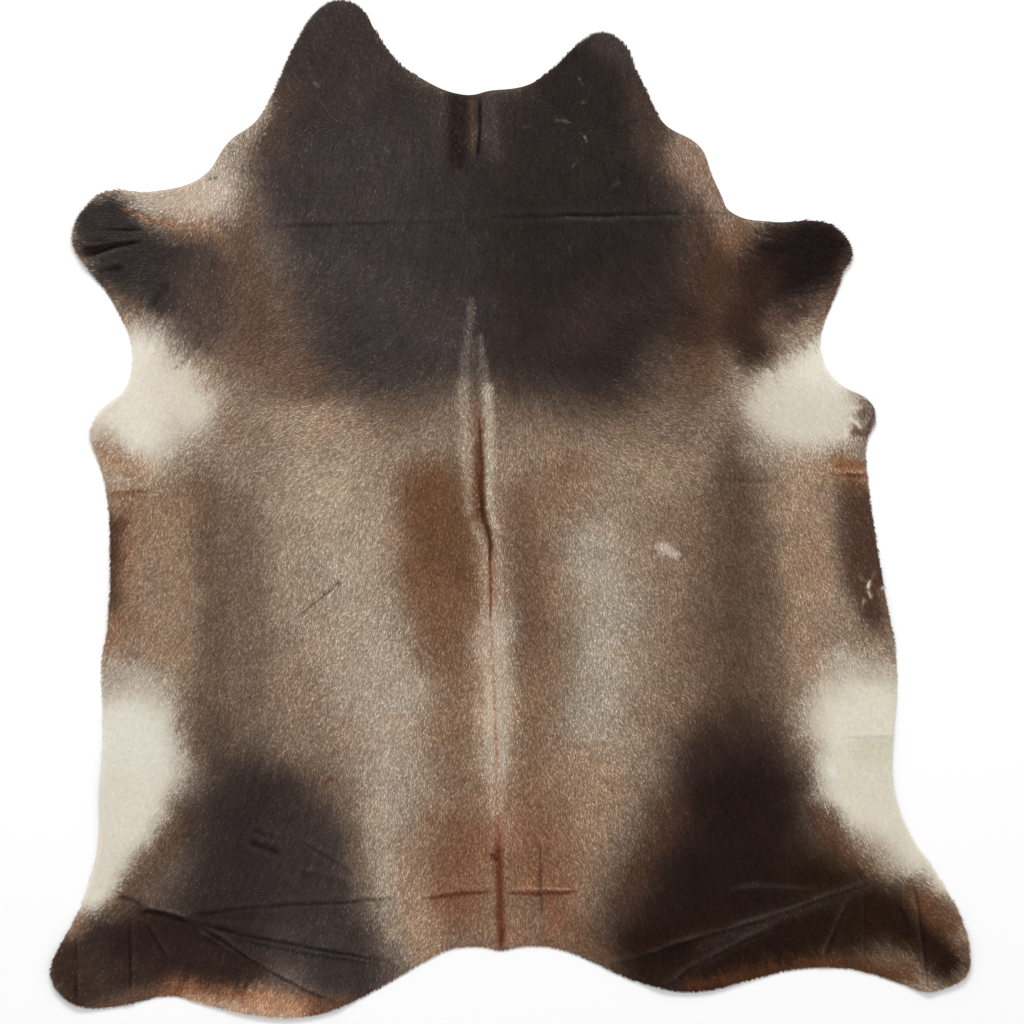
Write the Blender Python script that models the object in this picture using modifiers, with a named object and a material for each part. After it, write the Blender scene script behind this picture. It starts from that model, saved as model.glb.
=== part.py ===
"""Cowhide rug: one tanned hide with the hair left on, lying flat with the hair side up.

Metres, +Z up. +Y runs along the spine to the neck, +X to the right as seen from above. The
floor is z = 0 and the origin lies on it, under the middle of the hide's box.

The hide is modelled as a sheet. Its underside is an open surface on the floor that lifts
under each crease and wherever the skin stands off the floor, and a Solidify modifier lays
the leather and the lying hair on it.
"""

from collections import namedtuple

import bpy
import numpy as np
from mathutils import Vector
from mathutils.geometry import delaunay_2d_cdt

# ---------------------------------------------------------------- driving dimensions
LEATHER = 0.0022  # the skin itself
LYING_HAIR = 0.0026  # what the coat adds on the back, brushed down flat
FLANK_HAIR = 0.0018  # the shorter coat along the flanks and on the legs
EDGE_THICKNESS = 0.0030  # where the coat rolls over the cut edge
EDGE_BAND = 0.014  # how far in from the edge the coat reaches its full height
HAIR_OVERHANG = 0.0024  # how far the hair stands past the cut edge

BACK_HALF_WIDTH = 0.62  # the full coat reaches this far from the spine, then thins out
FLANK_FADE = 0.25

EDGE_STEP = 0.021  # spacing of the points round the edge
FOLD_STEP = 0.027  # and along a fold
FIELD_STEP = 0.050  # and over the open hide
ROW_SIDES = (-0.5, -0.28, 0.0, 0.28, 0.5)  # where a fold's rows run, as shares of its width
CURVE_STEPS = 8  # straight pieces between two landmarks of the edge
END_TAPER = 0.050  # a fold dies away over this length past each end
MEETING = 4  # where folds meet the highest leads: more makes it lead more sharply

COAT_COLOUR = (0.145, 0.095, 0.068, 1.0)
COAT_ROUGHNESS = 0.62

# The edge, clockwise from the left neck point: a row for each section, with its landmarks as
# (across from the spine, along towards the neck).
EDGE_SECTIONS = {
    "left neck point": ((-0.367, 1.097), (-0.320, 1.078), (-0.298, 1.043),
                        (-0.233, 0.955), (-0.186, 0.927)),
    "neck notch": ((-0.136, 0.903), (-0.086, 0.894), (-0.043, 0.903),
                   (0.032, 0.914), (0.076, 0.937)),
    "right neck point": ((0.162, 1.013), (0.199, 1.028), (0.248, 1.000),
                         (0.268, 0.955), (0.289, 0.912)),
    "right shoulder": ((0.333, 0.832), (0.410, 0.782), (0.436, 0.719),
                       (0.456, 0.676), (0.473, 0.644)),
    "right front leg": ((0.562, 0.620), (0.667, 0.620), (0.702, 0.607), (0.737, 0.555),
                        (0.730, 0.529), (0.721, 0.518), (0.708, 0.482)),
    "right armpit": ((0.667, 0.359), (0.672, 0.330), (0.689, 0.294), (0.717, 0.266),
                     (0.778, 0.229), (0.788, 0.201), (0.769, 0.147)),
    "right flank": ((0.771, 0.063), (0.791, -0.078), (0.812, -0.203), (0.832, -0.318),
                    (0.832, -0.408), (0.825, -0.486), (0.825, -0.598)),
    "right hind leg": ((0.845, -0.665), (0.873, -0.721), (0.907, -0.769), (0.942, -0.825),
                       (0.970, -0.875), (0.991, -0.972), (0.983, -1.007), (0.940, -1.032),
                       (0.899, -1.041)),
    "right rump": ((0.875, -1.035), (0.836, -1.020), (0.730, -0.991), (0.605, -0.994),
                   (0.534, -1.011), (0.393, -1.041), (0.307, -1.028), (0.244, -1.007),
                   (0.194, -0.983)),
    "tail": ((0.095, -0.946), (0.004, -0.946), (-0.019, -0.953), (-0.043, -0.946),
             (-0.127, -0.948), (-0.171, -0.968)),
    "left rump": ((-0.292, -1.037), (-0.361, -1.071), (-0.432, -1.093), (-0.566, -1.089),
                  (-0.622, -1.076), (-0.678, -1.063), (-0.728, -1.050)),
    "left hind leg": ((-0.834, -1.069), (-0.896, -1.076), (-0.953, -1.061),
                      (-0.991, -1.000), (-0.978, -0.959), (-0.929, -0.866)),
    "left flank": ((-0.905, -0.797), (-0.890, -0.741), (-0.883, -0.592), (-0.877, -0.501),
                   (-0.879, -0.402), (-0.879, -0.318), (-0.868, -0.253), (-0.862, -0.097),
                   (-0.873, 0.056)),
    "left armpit": ((-0.890, 0.112), (-0.905, 0.162), (-0.890, 0.203), (-0.862, 0.231),
                    (-0.827, 0.264), (-0.816, 0.359)),
    "left front leg": ((-0.836, 0.410), (-0.862, 0.458), (-0.924, 0.538), (-0.942, 0.570),
                       (-0.937, 0.618), (-0.912, 0.654), (-0.877, 0.683), (-0.780, 0.685)),
    "left shoulder": ((-0.693, 0.702), (-0.654, 0.726), (-0.607, 0.793), (-0.546, 0.840),
                      (-0.488, 0.948), (-0.467, 0.996), (-0.406, 1.082)),
}

# A fold runs from start to end. crest is how far the skin stands off the floor on the line
# itself, shoulder how far beside it, coat what the hair gains or loses there, width the whole
# width of the fold, and fade the share of all this that is left at its end.
Fold = namedtuple("Fold", "name start end crest shoulder coat width fade")
FOLDS = (
    Fold("neck parting", (-0.086, 0.886), (-0.084, 0.754), 0, 0, -0.0010, 0.018, 0.8),
    Fold("shoulder crease left", (-0.592, 0.622), (-0.060, 0.618), 0.0020, 0, 0, 0.036, 1),
    Fold("shoulder crease right", (0.004, 0.624), (0.462, 0.643), 0, 0.0026, -0.0008, 0.040, 1),
    Fold("mane", (-0.086, 0.451), (-0.065, 0.149), 0, 0, 0.0016, 0.052, 1),
    Fold("back parting", (-0.065, 0.149), (-0.050, -0.045), 0, 0.0014, -0.0016, 0.050, 1),
    Fold("back line", (-0.050, -0.045), (-0.039, -0.240), 0, 0, 0.0012, 0.040, 1),
    Fold("loin line", (-0.039, -0.240), (-0.022, -0.938), 0, 0, 0.0010, 0.036, 1),
    Fold("rump crease, left", (-0.251, -0.842), (-0.037, -0.827), 0.0022, 0, 0, 0.036, 1),
    Fold("rump crease, middle", (-0.190, -0.840), (0.171, -0.814), 0, 0.0030, -0.001, 0.044, 0.6),
    Fold("tail crease", (0.065, -0.704), (0.065, -0.905), 0.0016, 0, 0, 0.034, 1),
    Fold("hock ridge", (-0.791, -0.855), (-0.698, -0.883), 0.0085, 0, 0, 0.058, 0.9),
    Fold("hock swirl", (-0.866, -0.848), (-0.791, -0.855), 0.0050, 0, 0, 0.044, 1.2),
    Fold("left fan, upper", (-0.691, -0.873), (-0.251, -0.842), 0.0055, 0, 0, 0.046, 0.35),
    Fold("left fan, long", (-0.696, -0.886), (-0.251, -0.976), 0.0075, 0, 0, 0.050, 0.55),
    Fold("left fan, short", (-0.680, -0.896), (-0.387, -1.065), 0.0075, 0, 0, 0.050, 0.6),
    Fold("left leg fold, outer", (-0.940, -0.935), (-0.937, -1.090), 0.0050, 0, 0, 0.034, 1),
    Fold("left leg fold, inner", (-0.823, -0.900), (-0.821, -1.080), 0.0055, 0, 0, 0.034, 0.8),
    Fold("left leg diagonal", (-0.791, -0.896), (-0.739, -0.985), 0.0055, 0, 0, 0.038, 0.6),
    Fold("left rump wrinkle, first", (-0.544, -0.700), (-0.508, -0.711), 0, 0.0030, 0, 0.034, 1),
    Fold("left rump wrinkle, second", (-0.559, -0.721), (-0.492, -0.750), 0, 0.004, 0, 0.040, 1),
    Fold("left rump wrinkle, third", (-0.449, -0.719), (-0.320, -0.797), 0.0022, 0, 0, 0.040, 1),
    Fold("left rump wrinkle, last", (-0.438, -0.786), (-0.320, -0.823), 0.0018, 0, 0, 0.036, 1),
    Fold("right fan, upper", (0.661, -0.829), (0.467, -0.829), 0.0032, 0, 0, 0.044, 0.5),
    Fold("right fan, inner half", (0.765, -0.808), (0.562, -0.880), 0.0060, 0, 0, 0.048, 1.1),
    Fold("right fan, outer half", (0.562, -0.880), (0.235, -0.978), 0.0066, 0, 0, 0.048, 0.55),
    Fold("right fan, short", (0.665, -0.838), (0.324, -1.030), 0.0060, 0, 0, 0.050, 0.6),
    Fold("right leg slant", (0.739, -0.845), (0.687, -0.966), 0.0048, 0, 0, 0.036, 0.7),
    Fold("right leg fold, inner", (0.765, -0.838), (0.765, -0.974), 0.0026, 0, 0, 0.032, 1),
    Fold("right leg bow", (0.827, -0.845), (0.860, -0.922), 0.0026, 0, 0, 0.036, 1),
    Fold("right leg fold, outer", (0.880, -0.845), (0.902, -1.070), 0.0050, 0, 0, 0.032, 1),
    Fold("left foot pleat, upper lip", (-0.780, 0.596), (-0.937, 0.581), 0.004, 0, 0, 0.032, 1.5),
    Fold("left foot pleat, lower lip", (-0.793, 0.571), (-0.914, 0.534), 0.004, 0, 0, 0.034, 1.7),
    Fold("left foot line", (-0.737, 0.604), (-0.877, 0.612), 0.0022, 0, 0, 0.028, 1),
    Fold("left foot dent", (-0.840, 0.518), (-0.870, 0.508), 0, 0.0026, 0, 0.034, 1),
    Fold("left elbow dent", (-0.745, 0.475), (-0.775, 0.438), 0, 0.0030, 0, 0.048, 1),
    Fold("left flank crease", (-0.868, 0.041), (-0.706, 0.041), 0.0020, 0, 0, 0.036, 0.6),
    Fold("right flank crease", (0.769, 0.076), (0.690, 0.076), 0.0020, 0, 0, 0.036, 0.6),
    Fold("right belly crease", (0.827, -0.490), (0.739, -0.501), 0.0022, 0, 0, 0.036, 0.6),
)

# Where a stretch of skin stands a little off the floor: middle, reach across and along, rise.
Swell = namedtuple("Swell", "name middle across along rise")
SWELLS = (
    Swell("left neck point", (-0.367, 1.085), 0.14, 0.17, 0.0060),
    Swell("right neck point", (0.205, 1.015), 0.13, 0.14, 0.0045),
    Swell("left shoulder edge", (-0.545, 0.880), 0.09, 0.16, 0.0035),
    Swell("right shoulder edge", (0.410, 0.760), 0.09, 0.12, 0.0030),
    Swell("left forefoot", (-0.935, 0.592), 0.16, 0.15, 0.0085),
    Swell("right forefoot", (0.730, 0.559), 0.15, 0.15, 0.0065),
    Swell("left armpit edge", (-0.905, 0.171), 0.10, 0.12, 0.0045),
    Swell("right armpit edge", (0.790, 0.203), 0.10, 0.10, 0.0045),
    Swell("left flank edge", (-0.870, -0.180), 0.07, 0.22, 0.0040),
    Swell("left belly edge", (-0.890, -0.600), 0.08, 0.20, 0.0050),
    Swell("right flank edge", (0.815, -0.180), 0.07, 0.20, 0.0045),
    Swell("right belly edge", (0.830, -0.530), 0.08, 0.21, 0.0040),
    Swell("left hind foot", (-0.985, -1.010), 0.18, 0.17, 0.0085),
    Swell("right hind foot", (0.985, -0.990), 0.17, 0.17, 0.0075),
    Swell("left rump edge", (-0.495, -1.095), 0.25, 0.10, 0.0060),
    Swell("right rump edge", (0.400, -1.045), 0.22, 0.09, 0.0050),
    Swell("between the left fan's folds", (-0.480, -0.955), 0.15, 0.04, 0.0030),
    Swell("between the right fan's folds", (0.500, -0.935), 0.16, 0.04, 0.0030),
)

COAT = LEATHER + LYING_HAIR


def clear_scene():
    for old in list(bpy.data.objects):
        bpy.data.objects.remove(old, do_unlink=True)


def edge_guide(collection):
    """The cut edge as one smooth closed curve through its landmarks."""
    landmarks = [place for section in EDGE_SECTIONS.values() for place in section]
    curve = bpy.data.curves.new("edge_line", "CURVE")
    curve.dimensions = "2D"
    curve.fill_mode = "NONE"
    curve.resolution_u = CURVE_STEPS
    spline = curve.splines.new("BEZIER")
    spline.bezier_points.add(len(landmarks) - 1)
    for point, (across, along) in zip(spline.bezier_points, landmarks):
        point.co = (across, along, 0.0)
        point.handle_left_type = point.handle_right_type = "AUTO"
    spline.use_cyclic_u = True
    guide = bpy.data.objects.new("edge_line", curve)
    guide.display_type = "WIRE"
    guide.hide_render = True
    collection.objects.link(guide)
    return guide


def points_of(guide):
    """The guide's points in order, as an array of (across, along)."""
    bpy.context.view_layer.update()
    graph = bpy.context.evaluated_depsgraph_get()
    mesh = bpy.data.meshes.new_from_object(guide.evaluated_get(graph))
    places = np.array([vertex.co[:2] for vertex in mesh.vertices])
    bpy.data.meshes.remove(mesh)
    return places


def evenly_spaced(ring, step):
    """The closed ring again, with its points one step apart."""
    closed = np.vstack([ring, ring[:1]])
    run = np.concatenate([[0.0], np.cumsum(np.linalg.norm(np.diff(closed, axis=0), axis=1))])
    stations = np.linspace(0.0, run[-1], round(run[-1] / step), endpoint=False)
    return np.column_stack([np.interp(stations, run, closed[:, i]) for i in (0, 1)])


def moved_out(ring, distance):
    """The clockwise ring with every point moved outwards, square to the edge there."""
    run = np.roll(ring, -1, axis=0) - np.roll(ring, 1, axis=0)
    outward = np.column_stack([-run[:, 1], run[:, 0]])
    return ring + distance * outward / np.linalg.norm(outward, axis=1)[:, None]


def inside(places, ring):
    """Which places lie inside the closed ring, by the crossings of a line through each."""
    start, end = ring, np.roll(ring, -1, axis=0)
    found = np.zeros(len(places), bool)
    for (x0, y0), (x1, y1) in zip(start, end):
        if y0 == y1:
            continue
        spans = (places[:, 1] >= min(y0, y1)) & (places[:, 1] < max(y0, y1))
        crossing = x0 + (places[:, 1] - y0) * (x1 - x0) / (y1 - y0)
        found ^= spans & (places[:, 0] < crossing)
    return found


def run_of(fold):
    """A fold's start, its direction, its length and how far it takes to die away past an end."""
    start, end = np.array(fold.start), np.array(fold.end)
    length = np.linalg.norm(end - start)
    return start, (end - start) / length, length, min(END_TAPER, length)


def on_fold(places, fold):
    """How far out on the fold each place is, 0 on its line and 1 at its foot, and its strength."""
    start, ahead, length, taper = run_of(fold)
    way = (places - start) @ ahead
    aside = (places - start) @ np.array([-ahead[1], ahead[0]])
    beyond = np.maximum(0.0, np.maximum(-way, way - length))
    strength = 1.0 + (fold.fade - 1.0) * np.clip(way / length, 0.0, 1.0)
    return np.hypot(2.0 * aside / fold.width, beyond / taper), strength


def nearest_gap(places, others):
    """Each place's distance to the closest of the others."""
    gap = np.full(len(places), np.inf)
    for other in others:
        gap = np.minimum(gap, np.hypot(*(places - other).T))
    return gap


def hump(share):
    """A smooth crest: 1 in the middle and 0 from a share of 1 on."""
    return (1.0 - np.clip(share, 0.0, 1.0) ** 2) ** 2


def shoulders(share):
    """Two smooth crests of height 1 with a line between them that stays down."""
    share = np.clip(share, 0.0, 1.0)
    return 6.75 * share**2 * (1.0 - share**2) ** 2


def lift(places):
    """How far the underside stands off the floor."""
    folded = np.zeros(len(places))
    for fold in FOLDS:
        share, strength = on_fold(places, fold)
        rise = strength * (fold.crest * hump(share) + fold.shoulder * shoulders(share))
        folded += rise**MEETING
    height = folded ** (1.0 / MEETING)
    for swell in SWELLS:
        offset = (places - swell.middle) / (swell.across, swell.along)
        height += swell.rise * hump(np.linalg.norm(offset, axis=1))
    return height


def coat(places, edge):
    """Leather and lying hair together: full on the back, thinner on the flanks and the edge."""
    out = np.clip((np.abs(places[:, 0]) - BACK_HALF_WIDTH) / FLANK_FADE, 0.0, 1.0)
    thickness = COAT + (FLANK_HAIR - LYING_HAIR) * out
    for fold in FOLDS:
        share, strength = on_fold(places, fold)
        thickness += strength * fold.coat * hump(share)
    inward = np.clip(nearest_gap(places, edge) / EDGE_BAND, 0.0, 1.0)
    return EDGE_THICKNESS + (thickness - EDGE_THICKNESS) * inward


def fold_places():
    """Rows of points along every fold and past its ends, on its line and across its slopes."""
    rows = []
    for fold in FOLDS:
        start, ahead, length, taper = run_of(fold)
        across = np.array([-ahead[1], ahead[0]])
        stations = round((length + 2 * taper) / FOLD_STEP) + 1
        for way in np.linspace(-taper, length + taper, stations):
            for side in ROW_SIDES:
                rows.append(start + way * ahead + side * fold.width * across)
    return np.array(rows)


def field_places(edge):
    """A triangular lattice over the whole hide."""
    low, high = edge.min(axis=0), edge.max(axis=0)
    row_step = FIELD_STEP * np.sqrt(0.75)
    lattice = []
    for row, along in enumerate(np.arange(low[1], high[1], row_step)):
        shift = 0.5 * FIELD_STEP * (row % 2)
        lattice += [(across + shift, along) for across in np.arange(low[0], high[0], FIELD_STEP)]
    return np.array(lattice)


def kept_apart(kept, more, gap):
    """Adds each of the places in more that lies at least the gap from all that are kept."""
    for place in more:
        if np.hypot(*(kept - place).T).min() >= gap:
            kept = np.vstack([kept, place])
    return kept


def hide_places(edge):
    """All points of the sheet: the edge, the line where the coat is full, folds and field."""
    coat_line = moved_out(edge, -EDGE_BAND)
    coat_line = coat_line[nearest_gap(coat_line, edge) > 0.9 * EDGE_BAND]
    folds = fold_places()
    folds = folds[inside(folds, edge)]
    field = field_places(edge)
    field = field[inside(field, edge)]
    places = kept_apart(edge, coat_line, 0.45 * EDGE_BAND)
    places = kept_apart(places, folds, 0.40 * EDGE_BAND)
    return kept_apart(places, field, 0.55 * FIELD_STEP)


def underside(edge):
    """The open surface on the floor, with its faces up, and the coat's share at each point."""
    places = hide_places(edge)
    border = [(index, (index + 1) % len(edge)) for index in range(len(edge))]
    found = delaunay_2d_cdt([Vector(place) for place in places], border, [], 0, 1e-6)
    places = np.array([tuple(place) for place in found[0]])
    faces = np.array(found[2])
    faces = faces[inside(places[faces].mean(axis=1), edge)]
    middle = (edge.min(axis=0) + edge.max(axis=0)) / 2
    mesh = bpy.data.meshes.new("hide")
    points = np.column_stack([places - middle, lift(places)])
    mesh.from_pydata(points.tolist(), [], faces.tolist())
    mesh.update()
    if sum(face.normal.z for face in mesh.polygons) < 0:
        mesh.flip_normals()
    return mesh, coat(places, edge)


def hair_on_hide():
    """The coat's mean colour, with a soft sheen."""
    material = bpy.data.materials.new("hair_on_hide")
    material.use_nodes = True
    shader = material.node_tree.nodes["Principled BSDF"]
    shader.inputs["Base Color"].default_value = COAT_COLOUR
    shader.inputs["Roughness"].default_value = COAT_ROUGHNESS
    shader.inputs["Metallic"].default_value = 0.0
    material.diffuse_color = COAT_COLOUR
    return material


def hide(collection, edge):
    """The sheet with its thickness: leather and coat laid on the underside."""
    mesh, thickness = underside(edge)
    piece = bpy.data.objects.new("hide", mesh)
    collection.objects.link(piece)
    most = float(thickness.max())
    group = piece.vertex_groups.new(name="coat")
    for index, local in enumerate(thickness):
        group.add([index], float(local) / most, "REPLACE")
    solidify = piece.modifiers.new("coat", "SOLIDIFY")
    solidify.thickness = most
    solidify.offset = 1.0
    solidify.use_rim = True
    solidify.vertex_group = group.name
    mesh.materials.append(hair_on_hide())
    mesh.shade_smooth()
    return piece


def build():
    clear_scene()
    rug = bpy.data.collections.new("cowhide_rug")
    guides = bpy.data.collections.new("guides")
    bpy.context.scene.collection.children.link(rug)
    bpy.context.scene.collection.children.link(guides)
    line = points_of(edge_guide(guides))
    edge = moved_out(evenly_spaced(line, EDGE_STEP), HAIR_OVERHANG)
    hide(rug, edge)


build()
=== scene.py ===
# %% [markdown]
# # A cowhide rug
# The real object is one cattle skin, tanned with its hair on and left in its natural outline. It
# lies flat with the hair side up. Its shape is already made and packed as a solid sheet. This
# lesson dresses that sheet: first the bare skin, then four layers of lying hair in the animal's
# own markings, and last a floor, soft light and a camera straight above.
# Sizes are in metres, and in the tables of marks and creases in millimetres. +Y runs along the
# spine to the neck, +X to the right, floor at z = 0.

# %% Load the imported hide
import math
from collections import namedtuple

import bpy
import numpy as np
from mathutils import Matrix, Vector
from mathutils.bvhtree import BVHTree
from mathutils.geometry import delaunay_2d_cdt


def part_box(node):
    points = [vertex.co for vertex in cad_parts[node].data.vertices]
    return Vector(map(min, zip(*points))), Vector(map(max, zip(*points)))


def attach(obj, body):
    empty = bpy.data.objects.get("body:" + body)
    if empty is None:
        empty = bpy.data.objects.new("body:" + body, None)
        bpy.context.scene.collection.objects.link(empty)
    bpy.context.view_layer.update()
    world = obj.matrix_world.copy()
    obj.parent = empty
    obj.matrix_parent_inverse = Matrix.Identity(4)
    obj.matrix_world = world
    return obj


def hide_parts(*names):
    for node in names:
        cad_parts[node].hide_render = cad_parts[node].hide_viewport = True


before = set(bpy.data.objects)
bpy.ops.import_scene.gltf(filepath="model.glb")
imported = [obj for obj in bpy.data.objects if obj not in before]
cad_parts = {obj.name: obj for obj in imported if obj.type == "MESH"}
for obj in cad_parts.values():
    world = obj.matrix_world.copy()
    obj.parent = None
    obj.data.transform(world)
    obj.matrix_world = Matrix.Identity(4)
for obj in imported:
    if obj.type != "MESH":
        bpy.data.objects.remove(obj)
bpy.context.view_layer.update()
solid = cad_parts["hide"]

# %% [markdown]
# ## Reading the shape of the solid
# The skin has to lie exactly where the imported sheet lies, folds and all. The folds could be
# typed in again, but then two tables would have to agree. It is safer to measure: at every
# point of a 4 mm grid a ray goes up from below the floor and tells how high the underside
# stands there. Averaging neighbours a few times rounds off the flat facets, as real leather
# rounds off its own bends.

# %% Survey the underside on a grid
GRID = 0.004
MARGIN = 0.04  # the grid goes on past the hide, because hair and noise do
BELOW = -1.0

low, high = (np.array(corner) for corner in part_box("hide"))
grid_x = np.arange(low[0] - MARGIN, high[0] + MARGIN, GRID)
grid_y = np.arange(low[1] - MARGIN, high[1] + MARGIN, GRID)


def survey(solid):
    """Where a ray from below meets the solid, for every cell. No meeting gives nan."""
    tree = BVHTree.FromObject(solid, bpy.context.evaluated_depsgraph_get())
    found = np.full((len(grid_y), len(grid_x)), np.nan)
    for row, y in enumerate(grid_y):
        for column, x in enumerate(grid_x):
            place = tree.ray_cast((x, y, BELOW), (0.0, 0.0, 1.0))[0]
            if place is not None:
                found[row, column] = place.z
    return found


underneath = survey(solid)
print("cells on the hide:", int((~np.isnan(underneath)).sum()),
      "highest underside:", round(float(np.nanmax(underneath)), 4))

# %% Fill the cells outside the hide and round off the facets
ROUNDINGS = 3


def spread_out(cells):
    """Fills empty cells from their neighbours, one ring of cells at a time."""
    while np.isnan(cells).any():
        padded = np.pad(cells, 1, constant_values=np.nan)
        sides = np.stack([padded[:-2, 1:-1], padded[2:, 1:-1],
                          padded[1:-1, :-2], padded[1:-1, 2:]])
        known = ~np.isnan(sides)
        total = np.where(known, sides, 0.0).sum(axis=0)
        count = known.sum(axis=0)
        fill = np.isnan(cells) & (count > 0)
        cells = np.where(fill, total / np.maximum(count, 1), cells)
    return cells


def rounded(cells, times):
    """Averages each cell with its neighbours along Y, then along X, some times over."""
    for _ in range(times):
        padded = np.pad(cells, 1, mode="edge")
        cells = (padded[:-2, 1:-1] + 2 * cells + padded[2:, 1:-1]) / 4
        padded = np.pad(cells, 1, mode="edge")
        cells = (padded[1:-1, :-2] + 2 * cells + padded[1:-1, 2:]) / 4
    return cells


ground = rounded(spread_out(underneath), ROUNDINGS)
print("highest ground, rounded:", round(float(ground.max()), 4))

# %% Read between the cells of a grid
LAST_CELL = 1.001  # stays just inside the grid, so that there is always a next cell


def at(cells, x, y):
    """The grid's value at any place, blended from the four cells round it."""
    column = np.clip((x - grid_x[0]) / GRID, 0, len(grid_x) - LAST_CELL)
    row = np.clip((y - grid_y[0]) / GRID, 0, len(grid_y) - LAST_CELL)
    i, j = row.astype(int), column.astype(int)
    v, u = row - i, column - j
    if cells.ndim == 3:
        u, v = u[:, None], v[:, None]
    lower = cells[i, j] * (1 - u) + cells[i, j + 1] * u
    upper = cells[i + 1, j] * (1 - u) + cells[i + 1, j + 1] * u
    return lower * (1 - v) + upper * v


print("ground at the middle of the floor:", at(ground, np.zeros(1), np.zeros(1)).round(4))

# %% [markdown]
# ## The outline
# The knife followed the natural edge of the skin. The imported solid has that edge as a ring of
# 21 mm steps. Its underside faces know the ring: an edge that only one of them has is an edge
# of the sheet. Walking along those edges gives the ring in order, and a curve through the
# points makes it smooth again.

# %% Find the outline and smooth it
EDGE_STEPS = 4  # points on the curve for each packed one
FACES_DOWN = -0.5  # a face belongs to the underside when its unit normal has less z than this


def outline_of(solid):
    """The solid's outline as places in order, clockwise or not as the mesh has it."""
    mesh = solid.data
    mesh.calc_loop_triangles()
    corners = np.array([vertex.co[:] for vertex in mesh.vertices])
    faces = np.array([triangle.vertices[:] for triangle in mesh.loop_triangles])
    places, same = np.unique(corners.round(6), axis=0, return_inverse=True)
    faces = same.ravel()[faces]
    a, b, c = (places[faces[:, i]] for i in range(3))
    normal = np.cross(b - a, c - a)
    under = faces[normal[:, 2] < FACES_DOWN * np.linalg.norm(normal, axis=1)]
    sides = [(int(f[i]), int(f[(i + 1) % 3])) for f in under for i in range(3)]
    met = set(sides)
    following = {start: end for start, end in sides if (end, start) not in met}
    ring = [next(iter(following))]
    while following[ring[-1]] != ring[0]:
        ring.append(following[ring[-1]])
    return places[ring][:, :2]


def curve_through(ring, steps):
    """A closed smooth curve through the ring's points (Catmull-Rom)."""
    before, after, later = (np.roll(ring, shift, axis=0) for shift in (1, -1, -2))
    made = []
    for t in np.arange(steps) / steps:
        made.append(0.5 * (2 * ring + (after - before) * t
                           + (2 * before - 5 * ring + 4 * after - later) * t**2
                           + (3 * ring - before - 3 * after + later) * t**3))
    return np.stack(made, axis=1).reshape(-1, 2)


outline = curve_through(outline_of(solid), EDGE_STEPS)
round_it = np.linalg.norm(outline - np.roll(outline, 1, axis=0), axis=1).sum()
print("outline:", len(outline), "points,", round(float(round_it), 2), "m round")

# %% How far every place is from the edge
REACH_IN = 0.06  # the distance is exact up to here
GAP_STEPS = 3  # the outline is made this much finer to measure from


def inside(x, y, ring):
    """Which places lie inside the ring, by counting how often it crosses a line to each."""
    found = np.zeros(x.shape, bool)
    for (x0, y0), (x1, y1) in zip(ring, np.roll(ring, -1, axis=0)):
        if y0 == y1:
            continue
        spans = (y >= min(y0, y1)) & (y < max(y0, y1))
        found[spans] ^= x[spans] < x0 + (y[spans] - y0) * (x1 - x0) / (y1 - y0)
    return found


def edge_gap(ring):
    """Distance to the ring in every cell: above 0 on the hide, below 0 outside it."""
    gap = np.full((len(grid_y), len(grid_x)), REACH_IN)
    cells = math.ceil(REACH_IN / GRID)
    for x, y in ring:
        j, i = round((x - grid_x[0]) / GRID), round((y - grid_y[0]) / GRID)
        rows = slice(max(0, i - cells), i + cells)
        columns = slice(max(0, j - cells), j + cells)
        away = np.hypot(grid_x[columns][None, :] - x, grid_y[rows][:, None] - y)
        gap[rows, columns] = np.minimum(gap[rows, columns], away)
    return np.where(inside(*np.meshgrid(grid_x, grid_y), ring), gap, -gap)


gap_grid = edge_gap(curve_through(outline, GAP_STEPS))
AREA = float((gap_grid > 0).sum()) * GRID**2
print("area of the hide:", round(AREA, 3), "m2")

# %% [markdown]
# ## Soft noise
# Nothing on an animal is drawn with a ruler. Markings wander, hair grows a little this way or
# that. A smooth random field does this: random numbers on a coarse lattice, blended in between.
# Each use has its own fixed seed, so the rug comes out the same every time.

# %% Soft noise
LATTICE = 64


def soft_noise(x, y, cell, seed):
    """Smooth noise from -1 to 1, whose lumps are about one cell wide."""
    lattice = np.random.default_rng(seed).uniform(-1, 1, (LATTICE, LATTICE))
    u, v = x / cell, y / cell
    j, i = np.floor(u).astype(int), np.floor(v).astype(int)
    u, v = u - j, v - i
    u, v = u * u * (3 - 2 * u), v * v * (3 - 2 * v)
    rows, columns = (i % LATTICE, (i + 1) % LATTICE), (j % LATTICE, (j + 1) % LATTICE)
    lower = lattice[rows[0], columns[0]] * (1 - u) + lattice[rows[0], columns[1]] * u
    upper = lattice[rows[1], columns[0]] * (1 - u) + lattice[rows[1], columns[1]] * u
    return lower * (1 - v) + upper * v


def ramp(value, start, end):
    """0 at the start and before it, 1 from the end on, and even between them."""
    return np.clip((value - start) / (end - start), 0.0, 1.0)


sample = soft_noise(*np.meshgrid(grid_x, grid_y), 0.05, 0)
print("noise in 50 mm lumps runs from", sample.min().round(2), "to", sample.max().round(2))

# %% [markdown]
# ## The markings
# This animal is near-black at the neck and over the hind quarters, brown and taupe in long
# stripes down the back, and cream behind the legs. Such a coat can be laid on like glazes: one
# mid-brown over all, then one soft patch after another. A patch follows a short course of
# points. It is full on the course and fades with distance: at its reach half of it is left, and
# a firm patch fades quickly there. The last column is how much of it covers what lies below.
# The tables go over the hide part by part, and a later patch lies over the earlier ones.

# %% Marks and how they cover
Mark = namedtuple("Mark", "name course reach reach_end firm tone cover")
MM = 0.001
FAR = 0.5  # nothing on the hide matters to a mark from further off


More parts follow.
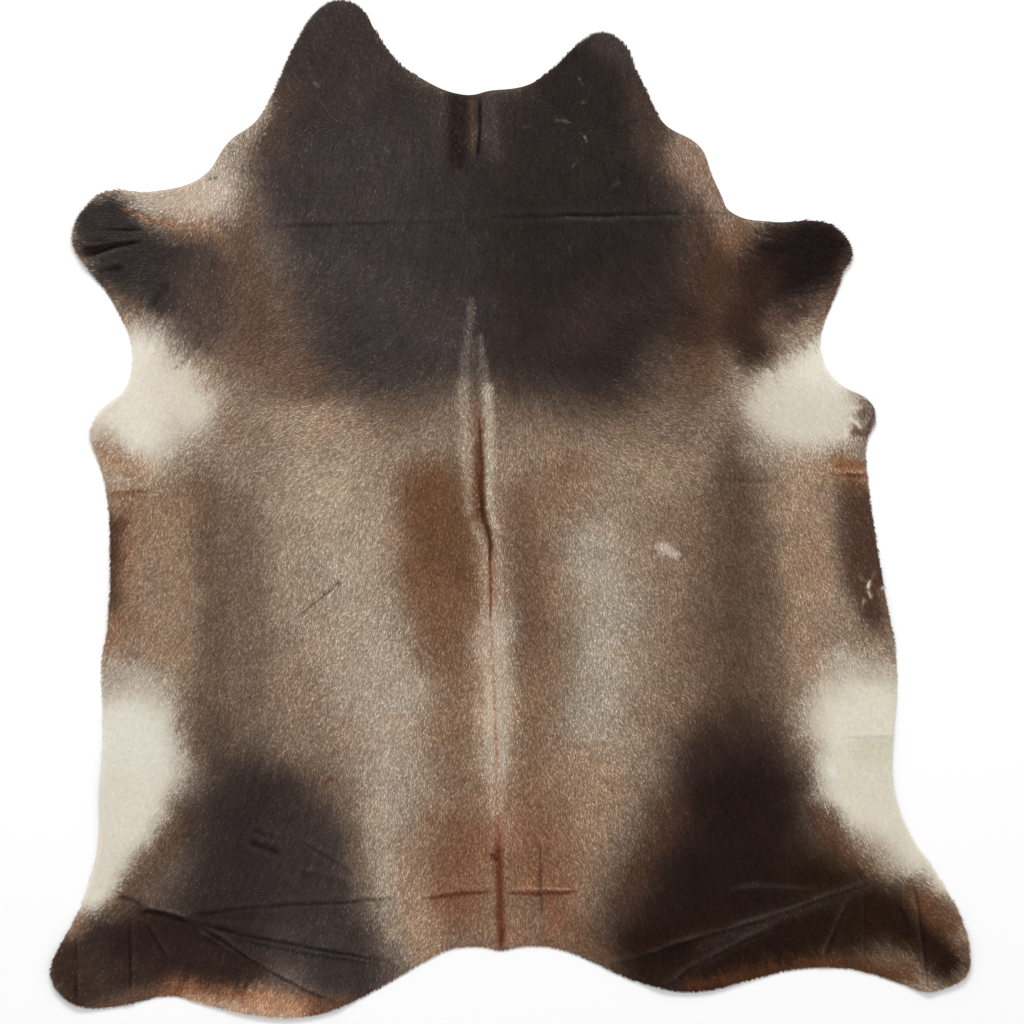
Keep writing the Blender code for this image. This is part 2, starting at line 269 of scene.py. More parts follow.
def mark_table(part, *rows):
    """Marks from rows whose first sizes, the course and the two reaches, are in mm."""
    print(f"{part}: {len(rows)} marks")
    return [Mark(name, np.array(course) * MM, reach * MM, reach_end * MM, *looks)
            for name, course, reach, reach_end, *looks in rows]


def tone_of(code):
    """Screen colour from 0 to 1 of a tone such as "a29382"."""
    return np.array([int(code[i:i + 2], 16) / 255 for i in (0, 2, 4)])


def off_course(course, x, y):
    """For each place: how far it is from the course, how far along it (0 to 1), and its side."""
    runs = np.linalg.norm(np.diff(course, axis=0), axis=1)
    passed = np.concatenate([[0.0], np.cumsum(runs)])
    off, share, side = np.full(x.shape, FAR), np.zeros(x.shape), np.ones(x.shape)
    for start, end, run, before in zip(course[:-1], course[1:], runs, passed):
        ahead = (end - start) / run
        along = (x - start[0]) * ahead[0] + (y - start[1]) * ahead[1]
        aside = (y - start[1]) * ahead[0] - (x - start[0]) * ahead[1]
        way = np.clip(along, 0.0, run)
        here = np.hypot(along - way, aside)
        nearer = here < off
        off = np.where(nearer, here, off)
        share = np.where(nearer, (before + way) / passed[-1], share)
        side = np.where(nearer, np.sign(aside), side)
    return off, share, side


def covering(mark, x, y):
    """How much of a mark covers each place, from 0 to its cover."""
    off, share, _ = off_course(mark.course, x, y)
    reach = mark.reach + (mark.reach_end - mark.reach) * share
    return mark.cover * np.exp2(-(off / reach) ** (2 * mark.firm))


# %% Patches of the back and loin
# name, course, reach at its start and its end, how firm, tone, cover
BACK = mark_table(
    "back and loin",
    ("left pale column", ((-406, 117), (-378, -24), (-341, -197), (-298, -369)),
     73, 86, 1.3, "a49480", 0.9),
    ("left pale column, rear", ((-272, -348), (-259, -542), (-264, -737), (-212, -920)),
     65, 43, 1.6, "a59583", 0.95),
    ("left brown, front", ((-168, 37), (-151, -24), (-151, -143)), 69, 71, 2.2, "64442f", 0.95),
    ("left brown, middle", ((-143, -175), (-134, -305)), 58, 52, 1.6, "6f503b", 0.85),
    ("left brown, rear", ((-112, -369), (-104, -542)), 43, 52, 1.5, "7d614c", 0.85),
    ("right brown, inner", ((35, 9), (39, -197), (48, -326)), 43, 43, 1.6, "674d3c", 0.9),
    ("right brown, outer", ((112, 84), (108, -110), (112, -413)), 52, 43, 1.3, "7c624c", 0.8),
    ("right brown, rear", ((48, -391), (69, -585)), 52, 73, 1.5, "80644e", 0.85),
    ("right pale column", ((194, -78), (207, -283), (194, -477)), 56, 56, 1.4, "a29584", 0.95),
    ("right pale column, rear", ((177, -564), (188, -715), (173, -866)),
     52, 39, 1.6, "967c66", 0.9),
    ("right pale shoulder", ((281, 117), (341, 41)), 52, 43, 1.2, "9f8b74", 0.6),
    ("right warm column", ((341, -24), (367, -283), (341, -456)), 56, 56, 1.2, "836b57", 0.8),
    ("right warm column, outer", ((423, 19), (415, -197), (410, -413)),
     43, 43, 1.4, "6f5948", 0.85),
    ("right dark column", ((492, 149), (492, -110), (484, -413)), 48, 56, 1.5, "554335", 0.95),
    ("right dark column, outer", ((549, -67), (557, -283), (553, -456)),
     35, 43, 1.4, "624e3f", 0.85),
    ("right pale shoulder, outer", ((523, 136), (592, 123)), 22, 30, 1.4, "a3927f", 0.7),
    ("left dark column", ((-661, 41), (-644, -110), (-644, -456)), 39, 48, 1.6, "644f40", 0.92),
    ("left dark column, inner", ((-583, 19), (-570, -197), (-562, -456)),
     39, 52, 1.4, "6c594a", 0.85),
    ("left loin, warm shade", ((-454, -413), (-421, -564)), 56, 48, 1.2, "846b58", 0.6),
)

# %% Patches of the flanks
# name, course, reach at its start and its end, how firm, tone, cover
FLANKS = mark_table(
    "flanks",
    ("left flank tan", ((-734, 19), (-734, -197), (-730, -326)), 48, 43, 1.5, "8c745d", 0.85),
    ("left flank rust", ((-825, -2), (-847, -197), (-860, -305)), 37, 37, 1.5, "86654d", 0.9),
    ("left flank dark spot", ((-868, -45), (-870, -188)), 32, 30, 2, "49352a", 0.95),
    ("right flank tan", ((644, 84), (639, -153), (652, -326)), 39, 43, 1.6, "937a64", 0.9),
    ("right flank rust", ((726, 80), (743, 63)), 28, 22, 1.5, "85603f", 0.85),
    ("right flank dark spot", ((760, 2), (760, -110), (791, -222)), 50, 37, 2.2, "473228", 0.97),
    ("right flank spot, worn edge", ((808, -179), (821, -251)), 13, 13, 1.5, "7a6351", 0.7),
    ("right flank below the spot", ((739, -283), (808, -305)), 35, 26, 1.5, "8b7663", 0.7),
)

# %% Patches of the shoulders, from taupe up into black
# name, course, reach at its start and its end, how firm, tone, cover
SHOULDERS = mark_table(
    "shoulders",
    ("shoulder band, low", ((-562, 181), (-238, 210), (108, 205), (443, 181)),
     48, 48, 1.4, "7b6554", 0.9),
    ("shoulder pale, left", ((-486, 203), (-389, 181)), 48, 52, 1.3, "aa937c", 0.8),
    ("shoulder pale, right", ((281, 225), (238, 171)), 35, 43, 1.2, "8d7560", 0.5),
    ("shoulder band, middle", ((-475, 270), (-194, 279), (108, 274), (389, 270)),
     39, 39, 1.5, "635244", 0.92),
    ("shoulder red-brown, left", ((-536, 354), (-454, 311)), 73, 56, 1.5, "6c5242", 0.9),
    ("shoulder red-brown, right", ((389, 354), (410, 296)), 56, 43, 1.5, "69513f", 0.9),
    ("shoulder band, high", ((-378, 343), (-173, 335), (22, 339), (238, 352)),
     37, 39, 1.6, "493e37", 0.95),
    ("left brown border", ((-600, 657), (-583, 534), (-549, 404)), 48, 56, 1.9, "5c473a", 0.95),
    ("left brown border, warm spot", ((-471, 451), (-523, 473)), 35, 30, 1.3, "654e3f", 0.6),
    ("right brown border", ((436, 657), (428, 534), (402, 397)), 45, 56, 1.9, "4a3326", 0.96),
)

# %% Patches of the black neck
# name, course, reach at its start and its end, how firm, tone, cover
NECK = mark_table(
    "neck",
    ("front, black left", ((-356, 970), (-356, 754), (-302, 613), (-238, 484)),
     134, 199, 3.2, "3c3431", 1),
    ("front, black right", ((194, 970), (151, 775), (173, 603), (140, 473)),
     112, 212, 3.2, "2c2421", 1),
    ("neck, left", ((-350, 1056), (-378, 905), (-356, 754)), 108, 121, 3, "3b322f", 1),
    ("neck, left mottling", ((-488, 901), (-488, 775)), 32, 28, 1.5, "503f36", 0.85),
    ("neck, left brown shade", ((-536, 827), (-488, 775), (-454, 728)), 32, 30, 1.3, "4f3e35", 0.6),
    ("neck, right mottling", ((251, 901), (287, 819), (307, 732)), 32, 37, 1.4, "55402f", 0.55),
    ("shoulder, left charcoal", ((-356, 689), (-238, 559), (-238, 473)),
     143, 134, 2.6, "3b3432", 0.9),
    ("neck, middle", ((-184, 866), (-134, 754), (-117, 473)), 56, 73, 2, "322b29", 0.85),
    ("shoulder, left low", ((-346, 473), (-151, 408)), 65, 56, 1.8, "403835", 0.9),
    ("neck, right", ((194, 981), (173, 840), (151, 667)), 95, 164, 3, "2b2421", 1),
    ("shoulder, right black", ((65, 711), (194, 592), (173, 484)), 130, 134, 2.8, "29221f", 0.9),
    ("neck notch", ((-69, 873), (0, 858), (-22, 754)), 48, 52, 2, "2f2724", 0.9),
    ("right neck, tip", ((207, 1013), (264, 957)), 30, 26, 1.5, "453c38", 0.8),
    ("right neck, brown edge", ((272, 901), (307, 797)), 26, 30, 1.5, "46372f", 0.85),
    ("right shoulder, low", ((281, 451), (108, 387)), 60, 56, 1.7, "352a25", 0.9),
)

# %% Patches of the forelegs and the armpits
# name, course, reach at its start and its end, how firm, tone, cover
FORELEGS = mark_table(
    "forelegs and armpits",
    ("left neck edge", ((-678, 685), (-605, 780), (-536, 866)), 43, 22, 1.8, "968676", 0.95),
    ("left foreleg pale", ((-825, 657), (-730, 657), (-644, 689)), 30, 52, 2, "b8a998", 0.97),
    ("left foreleg warm rim", ((-734, 616), (-670, 598), (-635, 572)), 17, 30, 1.5, "83654f", 0.8),
    ("left foot", ((-875, 598), (-825, 534), (-700, 490)), 56, 82, 3, "342d2b", 1),
    ("left foot, front", ((-907, 613), (-864, 635)), 30, 26, 2, "322c2b", 0.97),
    ("left foot, inner", ((-659, 473), (-657, 387)), 56, 43, 2, "4c3e37", 0.95),
    ("left foot, back", ((-760, 404), (-700, 365)), 22, 26, 1.7, "4f4038", 0.6),
    ("right shoulder edge", ((389, 754), (436, 689), (458, 635)), 35, 30, 1.8, "856d5d", 0.95),
    ("right foot, brown rim", ((475, 585), (501, 598)), 26, 22, 1.5, "745843", 0.85),
    ("right foot", ((600, 529), (661, 551)), 86, 73, 3, "1d1513", 1),
    ("right foot, inner", ((523, 495), (501, 387), (523, 354)), 52, 39, 2, "33231b", 0.95),
    ("right foot, low", ((583, 404), (618, 421)), 19, 17, 1.6, "3a2922", 0.7),
    ("right foot, brown edge", ((717, 505), (687, 426)), 17, 19, 1.5, "5c4436", 0.8),
    ("left armpit cream", ((-795, 339), (-799, 246), (-825, 171)), 52, 86, 2.4, "dcd6c8", 1),
    ("left armpit cream, inner", ((-724, 268), (-691, 214)), 48, 56, 1.8, "d3ccbc", 0.92),
    ("left armpit, tan border", ((-877, 127), (-804, 76)), 30, 26, 1.6, "9b7e66", 0.95),
    ("right armpit cream", ((691, 369), (661, 300), (639, 240)), 26, 91, 2.6, "dcd7ca", 1),
    ("right armpit cream, low", ((572, 225), (704, 197)), 52, 43, 1.8, "cdc6b7", 0.95),
    ("right armpit, edge", ((775, 210), (769, 136)), 19, 26, 1.8, "7f6e62", 0.9),
)

# %% Patches of the belly and of the left hind quarter
# name, course, reach at its start and its end, how firm, tone, cover
LEFT_QUARTER = mark_table(
    "belly and left hind quarter",
    ("left belly cream", ((-834, -495), (-834, -611)), 108, 112, 3.2, "dad6c9", 1),
    ("left belly cream, low", ((-847, -672), (-916, -827)), 91, 43, 2.8, "dad4c6", 1),
    ("left belly, top", ((-864, -352), (-756, -391)), 35, 30, 1.5, "b3a797", 0.75),
    ("right belly cream", ((765, -464), (769, -559)), 112, 112, 3.2, "d9d4c3", 1),
    ("right belly cream, low", ((810, -611), (940, -788)), 99, 43, 2.8, "d8d2c1", 1),
    ("right belly, top", ((724, -343), (799, -352)), 30, 26, 1.5, "b3a898", 0.75),
    ("left thigh, upper shade", ((-622, -510), (-583, -564), (-454, -629)),
     52, 65, 1.5, "56463b", 0.9),
    ("left thigh, brown wedge", ((-700, -661), (-756, -754), (-816, -836)),
     35, 26, 1.6, "67503f", 0.95),
    ("left quarter", ((-562, -683), (-572, -801), (-616, -899)), 117, 130, 2.8, "322926", 1),
    ("left quarter, inner", ((-436, -750), (-410, -875), (-359, -996)),
     86, 95, 2.5, "3a312e", 0.97),
    ("left quarter, taupe border", ((-356, -661), (-311, -801)), 22, 19, 1.4, "66523f", 0.4),
    ("left hind foot", ((-903, -942), (-778, -931), (-659, -953)), 52, 78, 2.6, "2f221d", 1),
    ("left hind foot, lower", ((-907, -1028), (-778, -1000), (-562, -987)),
     30, 30, 2, "33251f", 0.9),
    ("left foot, outer", ((-950, -974), (-937, -1043)), 43, 39, 2.2, "38281f", 0.97),
    ("left foot, brown top", ((-959, -905), (-912, -875)), 19, 17, 1.5, "8a6f5a", 0.85),
    ("left hem, brown", ((-894, -1069), (-825, -1056), (-760, -1039)), 15, 15, 1.5, "5f4434", 0.85),
    ("left hem, rust", ((-730, -1039), (-648, -1056), (-536, -1061), (-436, -1067)),
     22, 24, 1.6, "86583d", 0.92),
    ("left hem, tan end", ((-536, -1056), (-462, -1069)), 19, 17, 1.4, "c39674", 0.7),
    ("left hem, cream", ((-700, -1061), (-605, -1080), (-471, -1097)), 13, 17, 1.5, "c0a085", 0.9),
    ("left hem, end", ((-415, -1078), (-356, -1050)), 19, 17, 1.4, "6b4938", 0.8),
)

# %% Patches of the rump and of the right hind quarter
# name, course, reach at its start and its end, how firm, tone, cover
RIGHT_QUARTER = mark_table(
    "rump and right hind quarter",
    ("rump, red-brown left", ((-86, -704), (-125, -801), (-130, -877)),
     69, 65, 1.4, "76503a", 0.85),
    ("rump, red-brown right", ((43, -715), (76, -801), (86, -888)), 73, 60, 1.4, "7a543d", 0.85),
    ("rump, pale left", ((-212, -737), (-194, -845), (-184, -942)), 30, 35, 1.4, "997f69", 0.8),
    ("rump, tail end", ((-22, -899), (108, -920)), 30, 30, 1.4, "8a6750", 0.6),
    ("right thigh, upper shade", ((410, -495), (486, -467), (557, -488)),
     43, 39, 1.5, "4e3b2f", 0.9),
    ("right thigh, tan edge", ((626, -488), (635, -575)), 19, 19, 1.4, "8c7663", 0.7),
    ("right thigh, brown wedge", ((674, -663), (708, -737), (773, -806)),
     28, 26, 1.8, "5f4433", 0.95),
    ("right quarter, ground", ((486, -618), (458, -737), (410, -953)),
     138, 199, 2.8, "2c1f1a", 0.97),
    ("right quarter", ((492, -650), (508, -737), (475, -855)), 99, 143, 2.6, "221713", 0.9),
    ("right quarter, inner", ((350, -629), (307, -737), (248, -855)), 26, 22, 1.5, "4a3327", 0.7),
    ("right quarter, lower", ((302, -953), (497, -920), (713, -899)), 56, 78, 2.4, "24170f", 1),
    ("right quarter, outer", ((648, -791), (734, -845), (842, -888)), 52, 56, 2.4, "27190f", 1),
    ("right foot, outer", ((903, -920), (942, -978)), 39, 32, 2, "21120a", 0.95),
    ("right foot, worn end", ((985, -942), (985, -985)), 11, 11, 1.5, "5c4534", 0.8),
    ("right foot, rust top", ((886, -840), (946, -892)), 26, 26, 1.5, "5c3f2c", 0.85),
    ("right hem, rust", ((389, -1026), (540, -996), (691, -987), (821, -1022)),
     15, 17, 1.4, "54321f", 0.8),
    ("right leg, rust", ((752, -991), (853, -1000)), 22, 24, 1.4, "50321f", 0.75),
)

# %% Patches of the spine, and a few late ones
# name, course, reach at its start and its end, how firm, tone, cover
SPINE = mark_table(
    "spine and late glazes",
    ("spine, below the mane", ((-52, -110), (-43, -197)), 19, 22, 1.4, "97785f", 0.75),
    ("spine, cream", ((-39, -251), (-35, -413), (-26, -564)), 28, 26, 1.5, "b3a28e", 0.95),
    ("spine, tan", ((-26, -618), (-24, -704)), 28, 30, 1.3, "9a7860", 0.75),
    ("right belly, shade", ((773, -525), (834, -525)), 26, 26, 1.2, "c2bca4", 0.5),
    ("rump, warm edge", ((162, -927), (194, -957)), 22, 19, 1.2, "6e4526", 0.35),
    ("back, pale low", ((-30, -365), (-30, -482)), 17, 17, 1.3, "b8aa97", 0.4),
    ("right flank, rosy", ((652, -93), (670, -136)), 22, 22, 1.2, "9c765e", 0.4),
)
PATCHES = BACK + FLANKS + SHOULDERS + NECK + FORELEGS + LEFT_QUARTER + RIGHT_QUARTER + SPINE
WIDER, SOFTER = 1.15, 0.8  # on the hair a patch spreads and blurs by this much
PATCHES = [mark._replace(reach=WIDER * mark.reach,
                         reach_end=WIDER * mark.reach_end,
                         firm=SOFTER * mark.firm) for mark in PATCHES]
print("patches in all:", len(PATCHES))

# %% The colour of the coat at any place
GROUND_TONE = "8e7a67"
WANDER = ((0.099, 0.0108), (0.037, 0.0054), (0.013, 0.0024))  # lump size and amount
CLOUDS = ((0.045, 0.6, 5), (0.017, 0.4, 6))  # lump size, share and seed
PAINTED_SHEEN = 0.07  # painted sheen: how much lighter or darker the coat is in soft clouds, where sleek hair catches the light
WARMTH = np.array([0.014, 0.0, -0.014])  # and how much redder or bluer
WARMTH_LUMPS = 0.06
CALM_FROM, CALM_TO = 0.55, 0.80  # the clouds fade from taupe to cream
MOST_CALM = 0.9


def broad_colour(x, y):
    """The coat's colour from the patches, with soft clouds of painted sheen, as screen colour from
    0 to 1.
    """
    moved_x, moved_y = x.copy(), y.copy()
    for number, (lump, amount) in enumerate(WANDER):
        moved_x += amount * soft_noise(x, y, lump, 1 + number)
        moved_y += amount * soft_noise(x, y, lump, 1 + len(WANDER) + number)
    colour = np.empty(x.shape + (3,))
    colour[:] = tone_of(GROUND_TONE)
    for patch in PATCHES:
        part = covering(patch, moved_x, moved_y)[..., None]
        colour += (tone_of(patch.tone) - colour) * part
    sheen_clouds = sum(share * soft_noise(x, y, lump, seed) for lump, share, seed in CLOUDS)
    warmth = soft_noise(x, y, WARMTH_LUMPS, 10)[..., None] * WARMTH
    calm = np.minimum(ramp(colour.mean(axis=2), CALM_FROM, CALM_TO), MOST_CALM)[..., None]
    return colour * (1.0 + (PAINTED_SHEEN * sheen_clouds[..., None] + warmth) * (1.0 - calm))


coat_grid = broad_colour(*np.meshgrid(grid_x, grid_y))
print("mean screen colour of the coat:", coat_grid[gap_grid > 0].mean(axis=0).round(3))

# %% [markdown]
# ## Marks made of whole hairs
# The mane is a band of long cream hairs that lean in to a rust-coloured groove, and at the tail
# there is rust and grey. Beside the neck parting and on the ridges of the black hind folds there
# are bands of painted sheen, where sleek black hair would catch the light. Here whole hairs differ
# from their neighbours, so these marks are asked once for each tuft of hair and not for each point
# of it.
# Their borders end in single hairs.

# %% Whole hairs of the neck and the mane
# name, course, reach at its start and its end, how firm, tone, cover
MANE_HAIRS = mark_table(
    "hairs of the mane",
    ("neck, dark side of the parting", ((-112.3, 889.9), (-112.3, 760.3)),
     23.8, 21.6, 1.8, "211713", 0.75),
    # painted sheen: the hair on the right of the parting is painted lighter, as if it caught the
    # light
    ("neck, light side of the parting", ((-49.7, 883.4), (-34.6, 771.1)),
     19.4, 17.3, 1.4, "4d4340", 0.5),
    ("withers stripe", ((-75.6, 747.4), (-73.4, 613.4)), 19.4, 17.3, 1.5, "2b2927", 0.6),
    ("mane, left streaks", ((-84.2, 451.4), (-92.9, 369.4), (-101.5, 274.3)),
     6.5, 13, 1.6, "8d8175", 0.4),
    ("mane, right streaks", ((-62.6, 375.8), (-56.2, 317.5), (-47.5, 248.4)),
     5.4, 13, 1.6, "968a7c", 0.42),
    ("mane, between", ((-77.8, 365), (-73.4, 231.1)), 8.6, 7.6, 1.5, "776858", 0.3),
    ("mane, left band", ((-101.5, 267.8), (-98.3, 170.6), (-95, 73.4), (-90.7, -2.2)),
     13.4, 7.8, 1.5, "a89a86", 0.55),
    ("mane, right band", ((-47.5, 261.4), (-42.1, 170.6), (-42.1, 84.2), (-43.2, 8.6),
     (-32.4, -32.4)),
     11.2, 6.9, 1.6, "b5a994", 0.75),
    ("groove, rust bed", ((-73.4, 235.4), (-69.1, 149), (-69.1, 84.2), (-71.3, 19.4)),
     7.3, 12.1, 1.5, "75503e", 0.5),
    ("groove, brown bed", ((-71.3, 138.2), (-69.1, 62.6), (-67, -6.5)),
     6.5, 9.7, 1.2, "50301f", 0.6),
    ("groove, left lip", ((-79.9, -32.4), (-64.8, -56.2), (-49.7, -84.2)),
     8.6, 6.5, 1.5, "b09a80", 0.55),
    ("groove, right hair fan", ((-30.2, -32.4), (-28.1, -77.8)), 8.6, 8.6, 1.3, "a88b72", 0.45),
)

# %% Whole hairs of the back, the tail and the legs
# name, course, reach at its start and its end, how firm, tone, cover
TAIL_HAIRS = mark_table(
    "hairs of the back and the tail",
    ("back line, left band", ((-54, -88.6), (-51.8, -196.6), (-45.4, -326.2), (-36.7, -412.6)),
     8.6, 17.3, 1.5, "a8937e", 0.5),
    ("back line, right band", ((-23.8, -92.9), (-21.6, -283), (-19.4, -542.2)),
     9.7, 13, 1.5, "a99886", 0.4),
    ("loin, pale ridge", ((-44.3, -382.3), (-41, -481.7)), 9.7, 8.6, 1.5, "cfbea7", 0.5),
    ("loin, cream band", ((-32.4, -235.4), (-25.9, -412.6), (-25.9, -542.2), (-28.1, -639.4)),
     19.4, 15.1, 1.5, "b5a492", 0.5),
    ("tail, rust left", ((-140.4, -851), (-95, -851)), 19.4, 28.1, 1.3, "80563e", 0.35),
    ("tail, rust right", ((86.4, -844.6), (103.7, -879.1)), 19.4, 21.6, 1.3, "7f523a", 0.4),
    ("tail, grey hair", ((49.7, -848.9), (54, -926.6)), 19.4, 19.4, 1.6, "7d6a5a", 0.45),
    ("tail, grey hem", ((-118.8, -926.6), (-51.8, -931)), 13, 10.8, 1.4, "7a6453", 0.5),
    ("loin, rust speck", ((-175, -665.3), (-168.5, -671.8)), 10.8, 10.8, 1.2, "7a4f3a", 0.5),
    ("pale spot", ((328.3, -81), (343.4, -88.6), (356.4, -95)), 11.9, 9.7, 1.5, "c2b5a7", 0.8),
    # painted sheen: these four rows are greyish bands of painted highlight on the ridges of the
    # black folds
    ("right fan, sheen", ((410.4, -941.8), (496.8, -905), (604.8, -868.3), (702, -838.1),
     (773.3, -810)),
     10.8, 15.1, 1.4, "453a38", 0.42),
    ("right fan, low sheen", ((341.3, -1028.2), (410.4, -980.6), (496.8, -933.1), (557.3, -902.9)),
     8.6, 10.8, 1.4, "3e322e", 0.38),
    ("right leg, sheen", ((725.8, -848.9), (689, -948.2)), 8.6, 13, 1.5, "3c302a", 0.3),
    ("left leg, sheen", ((-902.9, -909.4), (-894.2, -1039)), 32.4, 30.2, 1.8, "43382f", 0.4),
)
HAIR_MARKS = MANE_HAIRS + TAIL_HAIRS

# %% [markdown]
# ## Partings and scars
# Some marks are only a few hairs wide and are crisp: the parting on the neck, the line down the
# back, a few scars where bare skin shows, and pale scratches on the neck. Each follows its own
# course, which wavers a little and thins out at both ends.

# %% The partings of the neck and the back
# name, course, reach at its start and its end, how firm, tone, cover
PARTINGS = mark_table(
    "partings",
    ("neck parting, gold line", ((-83.2, 894.2), (-82.1, 818.6), (-81, 758.2)),
     4.8, 4.3, 1, "503d28", 0.6),
    ("neck parting, dark line", ((-64.8, 892.1), (-65.2, 818.6), (-69.1, 756)),
     3, 4.3, 1.2, "120d0a", 0.85),
    ("groove", ((-67.8, 205.2), (-63.5, 149), (-60.5, 95), (-61.8, 45.4), (-61.3, 2.2)),
     1.9, 8.2, 1.2, "40220f", 0.78),
    ("groove, bend", ((-60.9, 30.2), (-60.5, -2.2), (-56.2, -25.9), (-48.4, -45.4), (-43.2, -69.1),
     (-42.3, -123.1)),
     6.9, 2.6, 1.2, "371d10", 0.84),
    ("groove, crossing hair, first", ((-88.6, 64.8), (-70.2, 49.7)), 1.7, 1.3, 1.3, "b39a80", 0.5),
    ("groove, crossing hair, second", ((-86.4, 45.4), (-67, 25.9)), 1.7, 1.3, 1.3, "a58d74", 0.5),
    ("groove, crossing hair, third", ((-82.1, 0), (-64.8, 8.6)), 1.9, 1.3, 1.3, "b39a80", 0.5),
    ("groove, crossing hair, fourth", ((-44.3, -17.3), (-21.6, -24.8)),
     1.5, 1.1, 1.3, "b09a80", 0.5),
    ("groove, crossing hair, fifth", ((-38.9, -47.5), (-15.1, -51.8)),
     1.5, 1.1, 1.3, "a88b72", 0.4),
    ("back line", ((-42.3, -103.7), (-42.3, -149), (-41.5, -196.6), (-40.6, -248.4)),
     3.5, 2.6, 1.5, "6a3424", 0.75),
    ("loin line", ((-41, -231.1), (-34.6, -391), (-29.2, -563.8), (-25.9, -689)),
     2.4, 3.5, 1.1, "96664d", 0.5),
    ("tail line, upper", ((-25.9, -663.1), (-25.1, -710.6), (-24.2, -753.8)),
     3, 7.3, 1.2, "80503c", 0.75),
    ("tail line", ((-24.6, -706.3), (-23.1, -771.1), (-22, -844.6), (-19.4, -909.4),
     (-17.7, -967.7)),
     7.8, 8, 1.2, "5a2f20", 0.9),
    ("tail line, barb", ((-41.9, -742), (-35.6, -750.6), (-27, -760.3)),
     3.5, 5.6, 1.4, "4e2c22", 0.85),
)

# %% Rust along the creases, and painted highlights on their lips
# name, course, reach at its start and its end, how firm, tone, cover
RUST_LINES = mark_table(
    "rust lines",
    ("tail crease left, rust", ((-187.9, -841.3), (-131.8, -835.1), (-92.9, -830.3), (-32.4, -826)),
     4.1, 4.1, 1.2, "6a3820", 0.75),
    ("tail crease right, rust", ((69.1, -831.6), (34.6, -831.2), (-4.3, -829.9)),
     5, 1.5, 1.2, "5e2c16", 0.75),
    ("tail crease right, rust end", ((69.1, -831.6), (108, -829.9), (149, -825.1)),
     5, 1.3, 1.2, "5e2c16", 0.75),
    ("tail crease right, upper", ((6.5, -812.2), (155.5, -812.2)), 3.2, 3, 1.2, "8a5238", 0.45),
    # painted highlight: a pale line on the lit lip of the right tail crease
    ("tail crease right, light", ((13, -819.9), (75.6, -819.5), (146.9, -820.8)),
     1.7, 1.7, 1.2, "b9906f", 0.55),
    ("left flank crease", ((-872.6, 29.2), (-831.6, 33.5), (-777.6, 38.9)),
     5, 3.9, 1.2, "85563a", 0.6),
    ("right flank crease", ((721.4, 75.6), (777.6, 72.4)), 4.1, 4.3, 1.2, "7a3f26", 0.65),
    # painted highlight: a pale line on the lit lip of the right flank crease
    ("right flank, light line", ((699.8, 80.4), (734.4, 81.2), (771.1, 82.5)),
     2.2, 2.2, 1.2, "b18d75", 0.55),
    ("right flank, rust streak", ((708.5, 92.9), (773.3, 96.1)), 6.9, 6.9, 1.2, "7d482d", 0.5),
)

# %% Lines of the feet, with painted shade and painted highlights at their folds
# name, course, reach at its start and its end, how firm, tone, cover
FOOT_LINES = mark_table(
    "lines of the feet",
    # painted shade: a dark wedge in the fold of the left foot's pleats
    ("left foot, wedge", ((-792.7, 577.8), (-859.7, 565.9), (-928.8, 553)),
     1.9, 9.9, 2.6, "1a100b", 0.8),
    # painted highlight: a pale grey line on a lit rib of the left foot
    ("left foot, light rib", ((-799.2, 597.7), (-766.8, 599.8), (-717.1, 600.5)),
     2.6, 1.7, 1.4, "5a5754", 0.45),
    ("left foot, rim notch", ((-781.9, 637.2), (-777.6, 622.1), (-769, 609.1)),
     2.6, 2.2, 1.3, "4a2f22", 0.55),
    ("left foot, dark patch", ((-838.1, 610.2), (-792.7, 608)), 6.5, 5.2, 1.3, "1b1512", 0.45),
    ("left foot, rust rim", ((-846.7, 652.3), (-786.2, 627.5), (-764.6, 619.9), (-719.3, 610.2)),
     4.3, 6.5, 1.2, "9a6a46", 0.5),
    ("left foot, rust edge", ((-877, 501.1), (-846.7, 462.2), (-788.4, 425.5)),
     5.6, 6.5, 1.2, "745540", 0.4),
    ("left neck edge, dark tuft", ((-654.5, 712.8), (-628.6, 716)), 2.8, 3.2, 1.3, "4c4a40", 0.7),
    # painted shade below the left hub crease, and painted highlights on its lip and on a rib of the
    # left fan
    ("left hub, shade", ((-803.5, -869.4), (-773.3, -869.4), (-738.7, -878), (-686.9, -894.2)),
     4.8, 3.9, 1.4, "1c0f09", 0.75),
    ("left hub, light lip", ((-786.2, -856.4), (-756, -862.9), (-723.6, -869.4), (-695.5, -881.3)),
     2.6, 2.6, 1.3, "66574c", 0.5),
    ("left fan, rib", ((-673.9, -906.1), (-635, -931), (-598.3, -955.8), (-568.1, -978.5)),
     3.2, 3, 1.3, "5f5048", 0.5),
)

